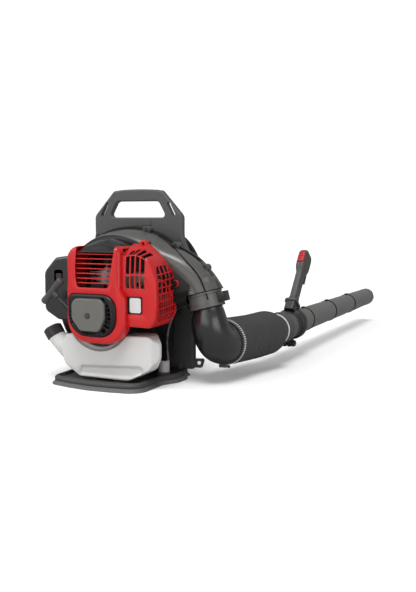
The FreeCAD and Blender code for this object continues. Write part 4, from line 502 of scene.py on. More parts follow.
def engine_cover():
    front_y = box_mm("engine_cover")[0].y
    top = 337.0
    step_x = 78.0
    step = 15.0
    wall = 2.6
    left = -67.5
    low = 108.5
    side_y = front_y + step
    raised_corners = [(left, top, 32), (left + 1, 228, 60), (left + 1, 172, 30), (left + 3, low, 56),
                      (94, low, 54), (92, 218, 12), (step_x + 1, 240, 14), (step_x + 2, top, 16)]
    raised_path = spread(rounded(raised_corners), 7)

    def raised_rear(x, z):
        return front_y + (30 if z < 150 else 96 if x < step_x - 3 else 22)

    def raised_edge(x, z):
        """Rounder along the slatted panel's sides than round the starter."""
        return 8 + 4 * ease((z - 236) / 20)

    raised = shell("cover_panel", raised_path, True, front_y, raised_rear, raised_edge, wall)
    opening = rounded([(-62, 226, 18), (72, 226, 36), (72, 124, 46), (-62, 124, 54)])
    slatted = rounded([(-37.5, 345, 0), (67, 345, 0), (66, 322, 0), (59, 289, 20), (50, 240, 8),
                       (-35, 240, 8), (-40, 262, 14), (-40, 290, 20), (-37.5, 325, 0)])
    cut(raised, [prism_y("tool", opening, front_y - 2, front_y + 10),
                 prism_y("tool", slatted, front_y - 2, front_y + 15),
                 block("tool", (-34, front_y + 10, 320), (66, front_y + 99, 350)),
                 block("tool", (left - 2, front_y + 6, 205), (left + 12, front_y + 26, 221))])
    bevel(raised, 0.9)
    slats = []
    for z in (318.5, 307.5, 296.0, 284.5, 273.0, 261.5, 250.5):
        x0 = -42 + max(0, (258 - z) * 0.4)
        x1 = 52 + max(0, z - 248) * 0.2
        outline = rectangle(front_y + 4.5, front_y + 11, z - 1.3, z + 1.3, 0.8)
        slats.append(prism_x("slat", outline, x0, x1))

    side_path = cover_side_path(step_x)
    side = shell("cover_side", side_path, False, side_y, cover_side_rear, lambda x, z: 5.5, wall,
                 cover_side_slope)
    tools = []
    for i, (x0, x1) in enumerate(((89.5, 99.5), (102.5, 112.5), (115.5, 125.5), (128.5, 139.5))):
        tools.append(prism_y("tool", curved_column(x0, x1, 241, 270.5, 2.0), side_y - 2, side_y + 10))
        rear = -103 + 4 * i
        high = 352 if i < 3 else 330
        bend = [(side_y - 2, 274), (side_y - 2, high), (rear, high), (rear, 302), (side_y + 14, 296),
                (side_y + 14, 274)]
        wrap = prism_x("tool", bend, x0, x1)
        for v in wrap.data.vertices:
            v.co.x += 0.05 * max(v.co.z - 274 * MM, 0) - 0.0012
        tools.append(wrap)
    window_y = [(-120, 274, 8), (-110, 291, 8), (-62, 293, 14), (-42, 268, 16), (-40, 182, 8), (-46, 166, 6),
                (-119, 162, 6)]
    tools.append(prism_x("tool", rounded(window_y), 148, 182))
    tools.append(prism_y("tool", rectangle(85, 133, 180, 223, 5), side_y - 1, side_y + 1.7))
    cut(side, tools)
    bevel(side, 0.7)

    def grille_bar(points, r):
        """A bar over the side window, on the barrel's skin."""
        path = []
        for y, z in points:
            path.append((max((p.x for p in side_path if abs(p.y - z) < 7), default=160) - 1.6, y, z))
        return tube("bar", path, r, 8)

    bars = []
    for z in (274.5, 259, 243.5, 229, 212, 196, 180):
        bars.append(grille_bar([(y, z + (y + 80) * 0.06) for y in (-121, -100, -80, -60, -38)], 1.7))
    for y in (-100.5, -81, -62):
        bars.append(grille_bar([(y, z) for z in (226, 240, 254, 268, 280, 294)], 1.6))
    for k in range(8):
        bars.append(grille_bar([(-112 + 8.9 * k, z) for z in (162, 175, 188, 200, 214, 231)], 1.3))
    arch = ((87, 313), (100, 317), (115, 317), (130, 312), (142, 305))
    bars.append(tube("bar", [(x, side_y + 3.5, z) for x, z in arch], 1.5, 8))
    bars.append(grille_bar([(-120 + 70 * t, 262 - 45 * t * t) for t in (0, 0.2, 0.4, 0.6, 0.8, 1.0)], 1.6))
    lugs = []
    for x, z, r in ((100, 341, 9.5), (169.5, 248, 8.5)):
        y1 = cover_side_rear(x, z) - 2
        outline = rounded([(x - r, z - r, 3), (x + r, z - r, 7), (x + r, z + r, 7), (x - r, z + r, 7)])
        ear = prism_y("ear", outline, y1 - 14, y1)
        cut(ear, [prism_y("tool", round_outline(x, z, 3.4, 20), y1 - 20, y1 - 4)])
        bevel(ear, 1.4)
        lugs.append(ear)
    cover = join("red_cover", [raised, side] + slats + bars + lugs)
    piece(cover, "cover_red", replaces=["engine_cover"])
    for name, x0, x1, z0, z1, deep, look in (
            ("blank_label_dark", 86.5, 131.5, 181.5, 221.5, 0.9, "hood_black"),
            ("blank_label_light", 98.5, 128, 184.5, 219, 0.4, "label_gray")):
        plate = prism_y(name, rectangle(x0, x1, z0, z1, 5), side_y + deep, side_y + 1.8)
        piece(plate, "cover_red", look=look)


engine_cover()


def hood():
    """The glossy hood that fills the red cover's top and runs down to its front edge."""
    front = -150.6
    rear = box_mm("top_shroud")[1].y
    x0 = -35.0
    x1 = 67.0
    low = 324.5
    columns = 40
    rows = 30
    lines = []
    for j in range(rows + 1):
        v = j / rows
        line = []
        for i in range(columns + 1):
            u = i / columns
            lobe = sin(pi * u) ** 0.55
            ridge = exp(-((u - 0.56) / 0.05) ** 2) * ease((v - 0.25) / 0.2)
            rise = 12 * ease(v / 0.22) * (0.35 + 0.65 * lobe) + 15 * lobe * ease((v - 0.05) / 0.5)
            line.append((x0 + (x1 - x0) * u, front + (rear - front) * v, low + rise + 1.4 * ridge))
        lines.append(line)
    top = lofted("black_hood", lines, False, False)
    if sum(face.normal.z for face in top.data.polygons) < 0:
        top.data.flip_normals()
    thicken(top, 2.4)
    bevel(top, 0.7)
    piece(top, slots["top_shroud"], replaces=["top_shroud"], smooth=50, look="hood_black")


hood()


# Starter housing: a rounded cap with its cooling slots round the disc

def starter_housing():
    lo, hi = box_mm("starter_housing")
    left = -61.0
    right = hi.x
    middle_z = (hi.z + lo.z) / 2
    corners = [(left + 2, hi.z, 18), (right, hi.z, 36), (right, lo.z, 46), (left, lo.z, 54)]
    cap = shell("starter_cap", spread(rounded(corners), 8), True, lo.y, lambda x, z: hi.y, lambda x, z: 5, 3)

    def slot(degrees, half, r0, r1):
        a = radians(degrees)
        along = Vector((sin(a), cos(a)))
        side = Vector((along.y, -along.x))
        r = min(0.9 * half, 0.4 * (r1 - r0), 1.8)
        corners = []
        for u, v in ((-half, r0), (half, r0), (half, r1), (-half, r1)):
            q = along * v + side * u
            corners.append((q.x, middle_z + q.y, r))
        return prism_y("tool", rounded(corners), lo.y - 2, lo.y + 8)

    tools = [slot(64 + 10.4 * i, 3.7, 46, 63) for i in range(6)]
    tools += [slot(147 + 9.6 * i, 2.2, 38.5 + 0.8 * abs(i - 4), 46.5) for i in range(10)]
    tools += [slot(250 + 9 * i, 2.0, 46.5, 53) for i in range(4)]
    for degrees in (46.0, 131.0):
        a = radians(degrees)
        screw_hole = round_outline(52 * sin(a), middle_z + 52 * cos(a), 6.2, 28)
        tools.append(prism_y("tool", screw_hole, lo.y - 2, lo.y + 8))
    cut(cap, tools)
    bevel(cap, 0.6)
    pull = Vector(joints["starter_pull"]["axis"])
    rope_lo, rope_hi = box_mm("starter_rope")
    rope_start = Vector((rope_hi.x, (rope_lo.y + rope_hi.y) / 2, rope_lo.z))
    guide = tube("guide", [rope_start + pull * d for d in (34, 50, 64, 66)], 6, 24)
    housing = join("starter_housing_cap", [cap, guide])
    piece(housing, slots["starter_housing"], replaces=["starter_housing"])
    hub_y = box_mm("starter_disc")[0].y + 0.8
    hub = tube("hub_ring", circle(Vector((0, hub_y, middle_z)), X, Z, 5.2, 36), 1.5, 10, True)
    piece(hub, slots["starter_housing"])


starter_housing()


# Fuel tank: a blow-moulded shell with soft corners and a wide neck

def fuel_tank():
    lo, hi = box_mm("fuel_tank")
    near = lo.y
    far = hi.y
    low = lo.z
    left = -107.0
    right = hi.x - 3
    high = 128.0
    outline = rounded([(left + 54, low, 16), (right - 74, low - 0.5, 34), (right - 24, low + 26, 26),
                       (right, low + 54, 20), (right, high - 18, 12), (right - 22, high, 14),
                       (left + 14, high - 6, 12), (left - 1, high - 40, 16), (left + 10, low + 28, 24)])
    body = prism_y("moulded_tank", outline, near, far)

    def round_tool(r, y0, y1):
        return prism_y("tool", round_outline(0, crank_z, r, 96), y0, y1)

    corner = [(right - 15, near - 1), (right + 2, near - 1), (right + 2, far + 1), (right - 38, far + 1),
              (right, near + 26), (right, near + 16)]
    pocket = rounded([(-56, 25, 6), (-50, 47, 8), (116, 55, 8), (128, 42, 8), (88, 27, 10)])
    cut(body, [round_tool(79, near - 1, far + 1), round_tool(89, near - 1, near + 7),
               prism_z("tool", corner, 0, 150), prism_y("tool", pocket, near - 2, near + 5)])
    seal_lo, seal_hi = box_mm("fuel_cap_seal")
    axis = Vector(joints["cap_lift"]["axis"]).normalized()
    seat = (seal_lo + seal_hi) / 2 - axis * 1.2
    middle = (near + far) / 2
    rings = []
    for centre, along, r in ((seat + axis, axis, 17), (seat - axis * 12, axis, 17.5),
                             (seat - axis * 14, axis, 21),
                             (seat - axis * 24 + X * 5, Vector((-0.66, 0, 0.75)), 23),
                             (Vector((-112, middle, 88)), Vector((-0.78, 0, 0.62)), 27),
                             (Vector((-88, middle, 72)), Vector((-0.8, 0, 0.6)), 30)):
        rings.append(circle(centre, Y, Y.cross(along).normalized(), r, 48))
    neck = lofted("neck", rings)
    change(body, "BOOLEAN", operation="UNION", solver="EXACT", object=neck)
    change(body, "REMESH", mode="VOXEL", voxel_size=2.2 * MM)
    change(body, "SMOOTH", factor=0.5, iterations=7)
    bake(body)
    bpy.data.objects.remove(neck)
    piece(body, "tank_white", replaces=["fuel_tank"], smooth=80)
    # Painted shade: faces round the recess under the cover take the gray copy of the tank white.
    tone(body, "tank_painted_shade", lambda x, y, z: hypot(x, z - crank_z) < 90.5 and y < near + 30)


fuel_tank()


# Fan housing: the rounded scroll that turns into the round duct, with its mould line

def scroll_radius(degrees):
    """The scroll's spiral: 197 mm straight above the crank, then it runs out into the duct."""
    return 197 + 0.304 * min(degrees, 42) + 1.5 * max(degrees - 42, 0)


def polar(r, degrees):
    a = radians(degrees)
    return Vector((r * sin(a), 0, crank_z + r * cos(a)))


def scroll_skin():
    """The scroll's rounded face, a little swollen where it becomes the duct, painted a light gray as a
    painted highlight along its band, with its inner flank beside the cover painted darker as painted shade.
    """
    samples = 120
    steps = 110
    gap = 1.4
    flange_half = 27
    end_half = duct_r + 0.8
    stations = [(scroll_start + (scroll_end - scroll_start) * k / steps, 0) for k in range(steps + 1)]
    stations += [(scroll_end, s) for s in (4, 8, 12, 16, 19)]
    rings = []
    for degrees, along in stations:
        t = ease((degrees - 20) / (scroll_end - 20))
        swell = 5.0 * ease((degrees - 38) / 24) - 1.2 * ease((degrees - 66) / 10)
        half = flange_half + (end_half - flange_half) * t
        deep = (seam_y - 5 + 56) * (1 - t) + end_half * t + swell
        middle_y = (seam_y - 5) * (1 - t) + duct_y * t
        outwards = polar(1, degrees) - polar(0, degrees)
        centre = polar(scroll_radius(degrees) + gap - half, degrees) + Y * middle_y + duct_down * along
        flat = 0.86 + 0.14 * t
        ring = []
        for i in range(samples + 1):
            a = pi * i / samples
            ring.append(centre + outwards * ((half + swell) * squared(cos(a), flat))
                        - Y * (deep * abs(sin(a)) ** flat))
        rings.append(ring)
    skin = lofted("scroll_skin", rings, False, False)
    thicken(skin, 1.6)
    # The face is painted light gray as a painted highlight; faces nearer the crank than 186 mm are painted
    # dark as painted shade beside the cover.
    piece(skin, housing_slot, smooth=60, look="scroll_lit_gray")
    tone(skin, "scroll_shaded_dark", lambda x, y, z: hypot(x, z - crank_z) < 186)


scroll_skin()


# The housing's own neck shows just above the clamp, painted in the scroll's lit gray, the same painted
# highlight as the scroll's band.
tone(nodes["fan_housing_engine_half"], "scroll_lit_gray", lambda x, y, z: x > 205 and 205 < z < 300)


def scroll_cutoff():
    """The rounded underside where the scroll's face turns back beside the duct."""
    rings = []
    for k in range(16):
        x = 128 + 5.0 * k
        z = 204 + 0.27 * (x - 142)
        deep = 26 * ease((x - 118) / 20)
        ring = []
        for i in range(13):
            a = pi / 2 * i / 12
            s = sin(a)
            ring.append((x - 10 * s, -46.4 + 34 * (1 - cos(a)), z + 12 - (12 + deep) * s))
        ring.append((x - 10, 15, z - deep))
        rings.append(ring)
    lip = lofted("scroll_cutoff", rings, False, False)
    thicken(lip, 1.6)
    # Painted shade: the underside takes the shaded dark copy of the housing black.
    piece(lip, housing_slot, smooth=60, look="scroll_shaded_dark")


scroll_cutoff()


def mould_line():
    """The dark joint line that runs down the scroll's flank to the clamp."""
    path = ((95, 10, 359), (117, 6, 348), (132, 2, 339), (155, -10, 326), (174, -21, 314), (193, -27, 298),
            (207, -27, 285), (219, -26, 271), (229, -27, 257), (236, -27, 242), (244, -28, 225),
            (248, -28, 212))
    piece(tube("mould_line", path, 1.8, 10), housing_slot, look="line_black")


mould_line()


def outlet_clamp():
    """A moulded band with raised rims and a screw lug round the joint of the housing's duct and the elbow."""
    outlet = polar(scroll_radius(scroll_end), scroll_end)
    across = Vector((cos(duct_tilt), 0, sin(duct_tilt)))
    centre = outlet - across * duct_r + Y * duct_y

    def round_duct(s, r):
        return circle(centre + duct_down * s, across, Y, r, 72)

    profile = [(0, 37.2), (0, 42), (0.8, 43.4), (4.5, 43.4), (5.5, 41.6), (31, 42.4), (32, 44.2), (36, 44.2),
               (37, 43), (37, 37.2)]
    band = lofted("duct_clamp", [round_duct(s, r) for s, r in profile + profile[:1]], True, False)
    lines = [tube("line", round_duct(s, r), 1.2, 8, True) for s, r in ((-0.6, 42.2), (37.6, 42.6))]
    piece(join("clamp_lines", lines), slots["outlet_clamp"], look="line_black")
    lug = block("lug", (-12, -16, -12), (11, 16, 12))
    bevel(lug, 2)
    placed(lug, centre + across * 46 + duct_down * 19, across, Y, -duct_down)
    axis = centre + across * 49 + duct_down * 19
    screw = tube("screw", [axis + Y * s for s in (-19, -18.9, 18.9, 19)], 4.2, 20)
    # The band is painted in the scroll's lit gray, a painted highlight like the scroll's band.
    piece(band, slots["outlet_clamp"], replaces=["outlet_clamp"], look="scroll_lit_gray")
    # The lug and its screw are painted dark as painted shade on the clamp's right side.
    piece(join("duct_clamp_lug", [lug, screw]), slots["outlet_clamp"], look="collar_black_and_shade")


outlet_clamp()


# Base: a shallow tray with a rounded rim on a flared foot, painted lighter as painted light and floor
# reflection on the flare

def base_skid():
    lo, hi = box_mm("base_skid")
    waist = 126.0
    wide = hi.x
    foot = 133.0
    near = -167.0
    right = [(waist + 2, near + 17, 34), (waist + 1, -42, 34), (wide, 4, 26), (wide, 45, 26), (foot, 76, 16),
             (foot, hi.y, 16)]
    left = [(-x, y, r) for x, y, r in reversed(right[1:])] + [(7 - waist, near + 30, 30)]
    path = spread(rounded([(0, near, 300)] + right + left), 10)
    inward = inward_normals(path)

    def swept(name, profile):
        rings = [[(p.x - n.x * out, p.y - n.y * out, z) for p, n in zip(path, inward)] for out, z in profile]
        return lofted(name, rings)

    tray = swept("base_tray", [(-4, 9), (0, 9.4), (1.6, 10.4), (2.2, 13), (1.6, 16.6), (-0.6, 19.4),
                               (-3.5, 20.6), (-8.5, 20.6), (-10, 19.6), (-11, 17.5), (-12, 14)])
    cut(tray, [prism_z("tool", rectangle(-119, -107, -124, -96, 5.5), -2, 30)])
    parts = [tray, block("bed", (-foot + 2, 70, 12), (foot - 2, 92, 20))]
    for x in (-115, 115):
        boss = prism_z("boss", round_outline(x, 0, 17, 40), 12, 24)
        bevel(boss, 1.5)
        parts.append(boss)
    for x in (-30, 55):
        rest = block("rest", (x - 20, -106, 12), (x + 20, -64, 20))
        bevel(rest, 1.5)
        parts.append(rest)
    base = join("base_tray", parts)
    piece(base, "base_plastic", replaces=["base_skid"], smooth=40)
    # The foot is painted lighter gray as painted light and floor reflection on its flare.
    skirt = swept("base_foot", [(-5, 10.4), (-0.4, 9.8), (1.8, 8.6), (7.6, 2.6), (8.4, 1.2), (7.8, 0.2),
                                (-3, 0)])
    piece(skirt, "base_plastic", smooth=40, look="foot_lit_gray")


base_skid()


# Ribbed hose

def hose():
    """One ribbed hose in two pieces that meet where the CAD's two do, the rear one running from the machine
    and the front one into the tube's cuff."""
    rear_lo, rear_hi = box_mm("hose_rear")
    front_lo, front_hi = box_mm("hose_front")
    clamp_lo, clamp_hi = box_mm("hose_clamp_rear")
    z = joints["tube_yaw"]["pos_m"][2] / MM
    begin = rear_lo.y
    middle = (rear_hi.y + front_lo.y) / 2
    end = front_hi.y
    rear_x = (clamp_lo.x + clamp_hi.x) / 2
    front_x = joints["tube_pitch"]["pos_m"][0] / MM + 3
    cuff = 27.0
    wide = 57.0
    narrow = 39.8
    wall = 2.2
    rib = 2.0
    pitch = 13.0

    def bare(y):
        """The hose's radius without its ribs."""
        return wide + (narrow - wide) * ease((y - (end - 80)) / 56) - 2.4 * (1 - ease((y - begin) / 26))

    def ribbed(y):
        fade = ease((y - begin - cuff) / 4) * ease((end - 26 - y) / 6)
        wave = 0.5 - 0.5 * cos(2 * pi * (y - begin - cuff) / pitch)
        return bare(y) + rib * fade * wave ** 0.7

    def ring(y, r):
        t = min(max((y - begin - cuff) / (end - 38 - begin - cuff), 0), 1)
        x = rear_x + (front_x - rear_x) * (1 - cos(pi * t)) / 2
        sag = 3.0 * sin(pi * min(max((y - begin) / (end - 60 - begin), 0), 1)) ** 2
        return circle(Vector((x, y, z - sag)), X, Z, r, 96)

    for name, y0, y1, bodies, joint, node in (
            ("ribbed_hose_rear", begin, middle, ("machine", "hose_mid"), "tube_yaw", "hose_rear"),
            ("ribbed_hose_front", middle, end, ("hose_mid", "hose_cuff"), "tube_pitch", "hose_front")):
        steps = int((y1 - y0) / 0.78)
        outside = [y0 + (y1 - y0) * k / steps for k in range(steps + 1)]
        inside = [y0 + (y1 - y0) * k / 14 for k in range(14, -1, -1)]
        rings = [ring(y, ribbed(y)) for y in outside] + [ring(y, bare(y) - wall) for y in inside]
        hose_part = lofted(name, rings + rings[:1], True, False)
        piece(hose_part, "hose_rubber", None, [node], 60)
        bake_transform(hose_part)


hose()


# Hose clamps: a perforated steel band at the elbow and a wire ring at the tube

def hose_clamps():
    lo, hi = box_mm("hose_clamp_rear")
    x = (lo.x + hi.x) / 2
    z = joints["tube_yaw"]["pos_m"][2] / MM
    begin = lo.y - 2
    r = 55.8
    profile = [(begin, r - 1.2), (begin, r), (begin + 12, r + 1.4), (begin + 12, r + 0.2)]
    band = turned_y("band", profile, x, z)
    housing = block("housing", (x - 12, begin - 1.5, z - r - 7.5), (x + 7, begin + 10.5, z - r))
    bevel(housing, 1.5)
    screw = tube("screw", [(x + d, begin + 4.5, z - r - 4.2) for d in (6, 6.5, 15, 15.5)], 3.4, 16)
    clamp = join("worm_clamp", [band, housing, screw])
    piece(clamp, "clamp_steel", replaces=["hose_clamp_rear"], look="collar_gray")
    teeth = []
    for a in turns(62):
        outwards = Vector((cos(a), 0, sin(a)))
        across = Vector((-sin(a), 0, cos(a)))
        tooth = block("tooth", (-1.3, -3.6, 0), (1.3, 3.6, 1.7))
        teeth.append(placed(tooth, Vector((x, begin + 6, z)) + outwards * (r + 0.1), across, Y, outwards))
    piece(join("worm_clamp_teeth", teeth), "clamp_steel", look="bright_wire")
    nodes["hose_clamp_front"].data.materials[0] = finish["bright_wire"]


hose_clamps()


# Blower tube: smooth cones that plug into each other, with a dark line and a catch at every joint

def blower_tube():
    x, _, z = tube_axis
    wall = 2.2
    collar_end = 432
    swivel_lo, swivel_hi = box_mm("swivel_pipe")
    profile = [(swivel_lo.y, 36.8), (351, 36.8), (352, 40.5), (357, 41.2), (358, 44.4), (362, 44.8),
               (363, 42), (376, 41.6), (377, 44.2), (381, 44.6), (382, 41.4), (427, 40.4), (431, 37.6),
               (500, 36.9), (swivel_hi.y - 1, 35.2), (swivel_hi.y, 34.4), (swivel_hi.y, 34.4 - wall),
               (431, 35), (swivel_lo.y, 34.6)]
    swivel = piece(turned_y("swivel_tube", profile, x, z), "tube_plastic", "tube", ["swivel_pipe"])
    tone(swivel, "collar_gray", lambda x, y, z: y < collar_end)
    before = swivel_hi.y
    for name, node, r0, r1 in (("rear_tube", "straight_pipe_rear", 34.9, 33.6),
                               ("front_tube", "straight_pipe_front", 33.8, 32.6),
                               ("tip_tube", "nozzle", 32.8, 30.6)):
        lo, hi = box_mm(node)
        plug = r0 - 1.8
        profile = [(lo.y, plug), (before - 3, plug), (before - 3, r0), (hi.y - 1, r1), (hi.y, r1 - 0.8),
                   (hi.y, r1 - wall), (before - 3, plug - wall), (lo.y, plug - wall)]
        piece(turned_y(name, profile, x, z), "tube_plastic", "tube", [node])
        rim = turned_y("rim", rectangle(before - 4, before + 3, r0 - 0.5, r0 + 1.2), x, z)
        catch = block("catch", (x - 5, before - 14, z + r0 - 1), (x + 5, before + 3, z + r0 + 4))
        bevel(catch, 1)
        piece(join(name + "_joint", [rim, catch]), "tube_plastic", "tube", look="line_black")
        before = hi.y
    for back in (34, 3):
        y = before - back
        r = 30.6 + 2.2 * back / 290
        profile = [(y - 1.6, r - 0.5), (y - 1.2, r + 0.8), (y + 1.2, r + 0.8), (y + 1.6, r - 0.5)]
        piece(turned_y("tip_ring", profile, x, z), "tube_plastic", "tube")


blower_tube()


# Control handle: a clamp ring, a rounded foot, a slim neck and a domed head, leaned forward

def lean(obj):
    """Moves a mesh made upright about its own foot to the handle's place."""
    c = cos(handle_lean)
    s = sin(handle_lean)
    return placed(obj, grip_foot, X, Vector((0, c, -s)), Vector((0, s, c)))


def handle_ring():
    x, _, z = tube_axis
    low = box_mm("handle_clamp")[0].z
    profile = [(436, 38.8), (464, 39.2), (467, 44.6), (470, 45.6), (490, 46), (492, 44.8), (492, 40.8),
               (475, 40.8), (472, 37.2), (436, 37.2)]
    ring = turned_y("handle_ring", profile, x, z)
    cut(ring, [block("tool", (x - 2, 430, low - 5), (x + 2, 500, z - 30))])
    parts = [ring]
    for x0, x1 in ((x - 13, x - 2), (x + 2, x + 13)):
        ear = block("ear", (x0, 438, low), (x1, 464, z - 37.4))
        bevel(ear, 2)
        cut(ear, [prism_x("tool", round_outline(451, z - 53.5, 3.3, 20), x0 - 1, x1 + 1)])
        parts.append(ear)
    parts.append(lean(prism_z("saddle", rectangle(-15, 15, -22, 15, 6), -16, 12)))
    piece(join("handle_ring", parts), "handle_plastic", "tube", ["handle_clamp"], look="collar_black_and_shade")


handle_ring()


def control_grip():
    foot = prism_z("foot", rectangle(-20, 20, -26, 26, 13), 11, 19.5)
    bevel(foot, 2.4, 3)
    stations = [(15, 17, 20), (20, 16.5, 19.5), (26, 14.2, 17.4), (36, 12.6, 16), (118, 12.6, 16),
                (126, 13.4, 17.5), (134, 16, 21.5), (142, 17.6, 24.5), (152, 18, 26), (176, 18, 26),
                (188, 17.6, 25), (195, 16, 22.4), (199.5, 13, 18), (201.7, 8, 11)]
    rings = []
    for w, a, b in stations:
        ring = []
        for t in turns(72):
            u = squared(cos(t), 0.42)
            v = squared(sin(t), 0.42)
            ring.append((a * u * (0.9 + 0.1 * v), b * v, w))
        rings.append(ring)
    stem = lofted("stem", rings)
    far = 26.0
    slot = prism_x("tool", [(far - 9, 169), (far + 30, 169), (far + 30, 102), (far - 13, 102)], -8, 8)
    well = prism_y("tool", rectangle(-10.6, 10.6, 149.6, 188.4, 7), -40, -14)
    cut(stem, [slot, well])
    bevel(stem, 0.8, 2, 50)
    grip = lean(join("control_grip", [foot, stem]))
    piece(grip, "handle_plastic", "tube", ["handle_grip"], smooth=40)
    button = prism_y("stop_rocker", rectangle(-10, 10, 150, 188, 7), -29.5, -20)
    bevel(button, 2.2, 3)
    cut(button, [block("tool", (-12, -32, w - 0.9), (12, -28.4, w + 0.9)) for w in (160, 169, 178)])
    piece(lean(button), "switch_red", "switch", ["stop_switch"])


control_grip()


# Screw bosses round the fan housing's flange

def flange_bosses():
    """Stout sleeves round the flange's screw bosses, each with a counterbore for its screw."""
    parts = []
    for degrees in (-54.0, -22.0, 18.0, 42.0, 64.0):
        centre = polar(scroll_radius(degrees) + 5.5, degrees)
        boss = prism_y("boss", round_outline(centre.x, centre.z, 9.2, 36), seam_y - 16.5, seam_y + 8)
        cut(boss, [prism_y("tool", round_outline(centre.x, centre.z, 5.8, 24), seam_y - 30, seam_y - 14)])
        bevel(boss, 1)
        parts.append(boss)
    piece(join("flange_bosses", parts), housing_slot, look="collar_gray")


flange_bosses()


# The curved rib of the fan housing's leg, above the near mount

def leg_rib():
    path = ((160, -19, 190), (157, -20, 177), (147, -20, 157), (140, -20, 138), (136, -20, 118),
            (135, -20, 98), (136, -20, 78), (138, -20, 58))
    # The rib is painted in the scroll's lit gray, a painted highlight along its edge.
    piece(tube("leg_rib", path, 2.6, 12), housing_slot, look="scroll_lit_gray")


leg_rib()


# Starter rope

def starter_rope():
    """A braided rope from the starter's guide to the grip."""
    lo, hi = box_mm("starter_rope")
    axis = Vector(joints["starter_pull"]["axis"])
    middle = (lo + hi) / 2
    r = 2.2
    lay = 7.0
    strands = 4
    half = ((hi - lo).length - 2 * r) / 2
    across = Vector((axis.z, 0, -axis.x))
    rings = []
    steps = int(2 * half / 0.5)
    for k in range(steps + 1):
        s = -half + 2 * half * k / steps
        twist = 2 * pi * s / lay
        ring = []
        for a in turns(32):
            weave = cos(strands * a + twist) * cos(strands * a - twist)
            ring.append(middle + axis * s + (across * cos(a) + Y * sin(a)) * (r + 0.22 * weave))
        rings.append(ring)
    rope = lofted("braided_rope", rings)
    piece(rope, "rope_nylon", None, ["starter_rope"], 60)
    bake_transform(rope)


starter_rope()


# Harness: the back pad and the shoulder straps

def back_pad():
    """A crowned cushion with drawn-in sides and three sewn channels."""
    lo, hi = box_mm("back_pad")
    middle = (lo + hi) / 2
    size = hi - lo
    nx = 60
    nz = 72
    drawn_in = 0.035
    channels = [lo.z + size.z * share for share in (0.27, 0.5, 0.73)]
    front = []
    back = []
    for j in range(nz + 1):
        v = 2 * j / nz - 1
        for i in range(nx + 1):
            u = 2 * i / nx - 1
            x = middle.x + u * size.x / 2 * (1 - drawn_in * (1 - v * v))
            z = middle.z + v * size.z / 2 * (1 - drawn_in * (1 - u * u))
            crown = (max(1 - u ** 8, 0) * max(1 - v ** 8, 0)) ** 0.5
            groove = sum(exp(-((z - c) / 4.5) ** 2) for c in channels)
            front.append((x, lo.y + 2 + (size.y - 3) * crown * (1 - 0.55 * groove * crown), z))
            back.append((x, lo.y + 0.5, z))
    stride = nx + 1
    count = len(front)
    faces = []
    for j in range(nz):
        for i in range(nx):
            a = j * stride + i
            faces.append((a, a + 1, a + stride + 1, a + stride))
            faces.append((count + a, count + a + stride, count + a + stride + 1, count + a + 1))
    rim = list(range(stride)) + [j * stride + nx for j in range(1, nz + 1)]
    rim += [nz * stride + i for i in range(nx - 1, -1, -1)] + [j * stride for j in range(nz - 1, 0, -1)]
    faces += [(a, b, count + b, count + a) for a, b in zip(rim, rim[1:] + rim[:1])]
    pad = mesh_object("padded_back", front + back, faces)
    piece(pad, "pad_fabric", "machine", ["back_pad"], 60)


back_pad()


def shoulder_strap(side, name, node):
    """A padded strap bowed off the pad, with piped edges and two lines of stitching."""
    x = side * 92.0
    front = box_mm("back_frame")[1].y
    pad = box_mm("back_pad")[1]
    pad_y = pad.y + 2
    stations = [Vector(p) for p in (
        (x - side * 20, front + 8, pad.z + 24), (x, pad_y + 6, pad.z + 13),
        (x + side * 24, pad_y + 28, pad.z - 40), (x + side * 28, pad_y + 38, pad.z - 110),
        (x + side * 22, pad_y + 22, pad.z - 178))]
    curve = []
    for k in range(len(stations) - 1):
        p0 = stations[max(k - 1, 0)]
        p1 = stations[k]
        p2 = stations[k + 1]
        p3 = stations[min(k + 2, len(stations) - 1)]
        for i in range(12):
            t = i / 12
            curve.append(0.5 * (2 * p1 + (p2 - p0) * t + (2 * p0 - 5 * p1 + 4 * p2 - p3) * t * t
                                + (3 * p1 - p0 - 3 * p2 + p3) * t ** 3))
    curve.append(stations[-1])
    rings = []
    last = len(curve) - 1
    for k, p in enumerate(curve):
        along = (curve[min(k + 1, last)] - curve[max(k - 1, 0)]).normalized()
        across = (X - along * along.x).normalized()
        out = along.cross(across)
        wide = 27.5 * (0.8 + 0.2 * sin(pi * min(max(k / last * 1.2 - 0.1, 0), 1)) ** 0.5)
        ring = []
        for a in turns(40):
            u = squared(cos(a), 0.45)
            v = squared(sin(a), 0.7)
            seam = 1 - 0.35 * exp(-((abs(u) - 0.78) / 0.05) ** 2)
            ring.append(p + across * (wide * u) + out * (6.5 * v * seam))
        rings.append(ring)
    strap = lofted(name, rings)
    piece(strap, "pad_fabric", "machine", [node], 60)


shoulder_strap(1, "padded_strap_right", "shoulder_strap_right")
shoulder_strap(-1, "padded_strap_left", "shoulder_strap_left")


# Floor, light and camera

